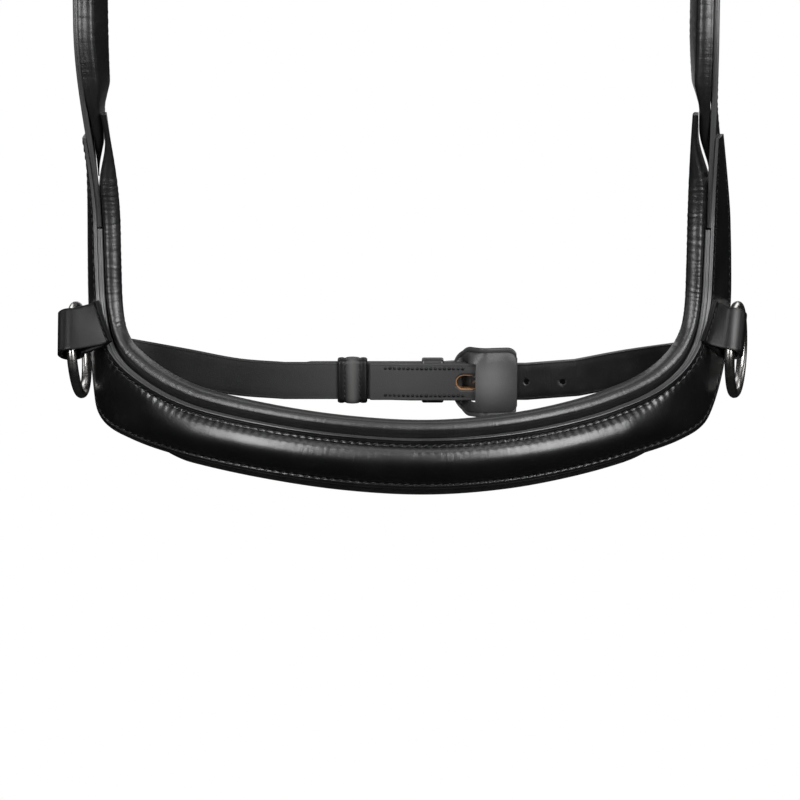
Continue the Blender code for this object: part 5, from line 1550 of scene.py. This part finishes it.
def paleFloor():
    size, back, count = studio["floorSize"], studio["floorBack"], studio["floorSides"]
    mesh, level = bpy.data.meshes.new("floor"), -nose["rise"] * mm - studio["floorDrop"]
    turns = [2 * math.pi * k / count for k in range(count)]
    mesh.from_pydata([(size * math.cos(a), size * math.sin(a) + back, level) for a in turns], [],
                     [tuple(range(count))])
    linked("floor", mesh)
    material, tree, surface = started("paleFloor")
    surface["Base Color"].default_value = (*[studio["floorTone"]] * 3, 1)
    surface["Roughness"].default_value = 0.9
    surface["Specular IOR Level"].default_value = 0.0
    path = add(tree, "ShaderNodeLightPath").outputs
    spot = add(tree, "ShaderNodeSeparateXYZ", {0: add(tree, "ShaderNodeTexCoord").outputs["Object"]}).outputs
    away = maths(tree, "SUBTRACT", spot["Y"], back)
    away = maths(tree, "SQRT", plus(tree, maths(tree, "MULTIPLY", away, away), spot["X"], spot["X"]))
    fade = ramp(tree, away, *(share * size for share in studio["floorFade"]), studio["floorGlow"][0], 1.0)
    mirrored = maths(tree, "MAXIMUM", path["Is Glossy Ray"], path["Is Transmission Ray"])
    seen = maths(tree, "MAXIMUM", maths(tree, "MULTIPLY", path["Is Camera Ray"], fade), mirrored)
    glow = maths(tree, "MULTIPLY", path["Is Glossy Ray"], 1 - studio["floorGlow"][1])
    glow = maths(tree, "SUBTRACT", 1.0, glow)
    glow = add(tree, "ShaderNodeEmission", {"Color": (1, 1, 1, 1), "Strength": glow}).outputs[0]
    shaded = tree.nodes["Principled BSDF"].outputs[0]
    both = add(tree, "ShaderNodeMixShader", {0: seen, 1: shaded, 2: glow})
    tree.links.new(both.outputs[0], tree.nodes["Material Output"].inputs[0])
    mesh.materials.append(material)


def backdrop():
    # White to the camera; glossy rays see it white only behind the bridle, and dim elsewhere
    world = bpy.data.worlds.new("studio")
    bpy.context.scene.world = world
    world.use_nodes = True
    tree = world.node_tree
    path = add(tree, "ShaderNodeLightPath").outputs
    way = add(tree, "ShaderNodeTexCoord").outputs["Generated"]
    way = add(tree, "ShaderNodeSeparateXYZ", {0: way}).outputs
    behind = ramp(tree, way["Y"], *studio["behind"], 0.0, studio["backdrop"])
    behind = maths(tree, "MULTIPLY", behind, maths(tree, "MAXIMUM", path["Is Glossy Ray"], 0.3))
    over = ramp(tree, way["Z"], *studio["over"], studio["dim"], studio["top"])
    clear = maths(tree, "MAXIMUM", path["Is Camera Ray"], path["Is Transmission Ray"])
    strength = add(tree, "ShaderNodeMix", {0: clear, 2: maths(tree, "MAXIMUM", behind, over), 3: 1.0})
    back = tree.nodes["Background"].inputs
    back["Color"].default_value = (1, 1, 1, 1)
    tree.links.new(strength.outputs[0], back["Strength"])


def lights():
    for number, (azimuth, elevation, distance, width, height, power) in enumerate(studio["boxes"]):
        data = bpy.data.lights.new(f"softbox{number}", "AREA")
        data.shape, data.size, data.size_y, data.energy = "RECTANGLE", width, height, power
        a, e = math.radians(azimuth), math.radians(elevation)
        way = Vector((math.sin(a) * math.cos(e), -math.cos(a) * math.cos(e), math.sin(e)))
        lamp = linked(f"softbox{number}", data)
        lamp.location = Vector(studio["target"]) + way * distance
        lamp.rotation_euler = way.to_track_quat("Z", "Y").to_euler()


view = {
    "distance": 1585, "perPixel": 0.475, "elevation": math.radians(10), "left": 7, "above": 63,
    "pixels": 800, "sensor": 36,
}


def camera():
    elevation, sensor = view["elevation"], view["sensor"]
    right, above = Vector((1, 0, 0)), Vector((0, math.sin(elevation), math.cos(elevation)))
    spot = nosePoint(0, -nose["reach"], 0) + right.cross(above) * view["distance"]
    spot += (above * view["above"] - right * view["left"]) * view["perPixel"]
    data = bpy.data.cameras.new("camera")
    obj = linked("camera", data)
    obj.matrix_world = axes(spot * mm, right, above)
    data.sensor_width = sensor
    data.lens = sensor * view["distance"] / view["perPixel"] / view["pixels"]
    data.clip_end = 20
    bpy.context.scene.camera = obj


paleFloor()
backdrop()
lights()
camera()
bpy.context.scene.view_settings.view_transform = "Standard"
print("studio set")
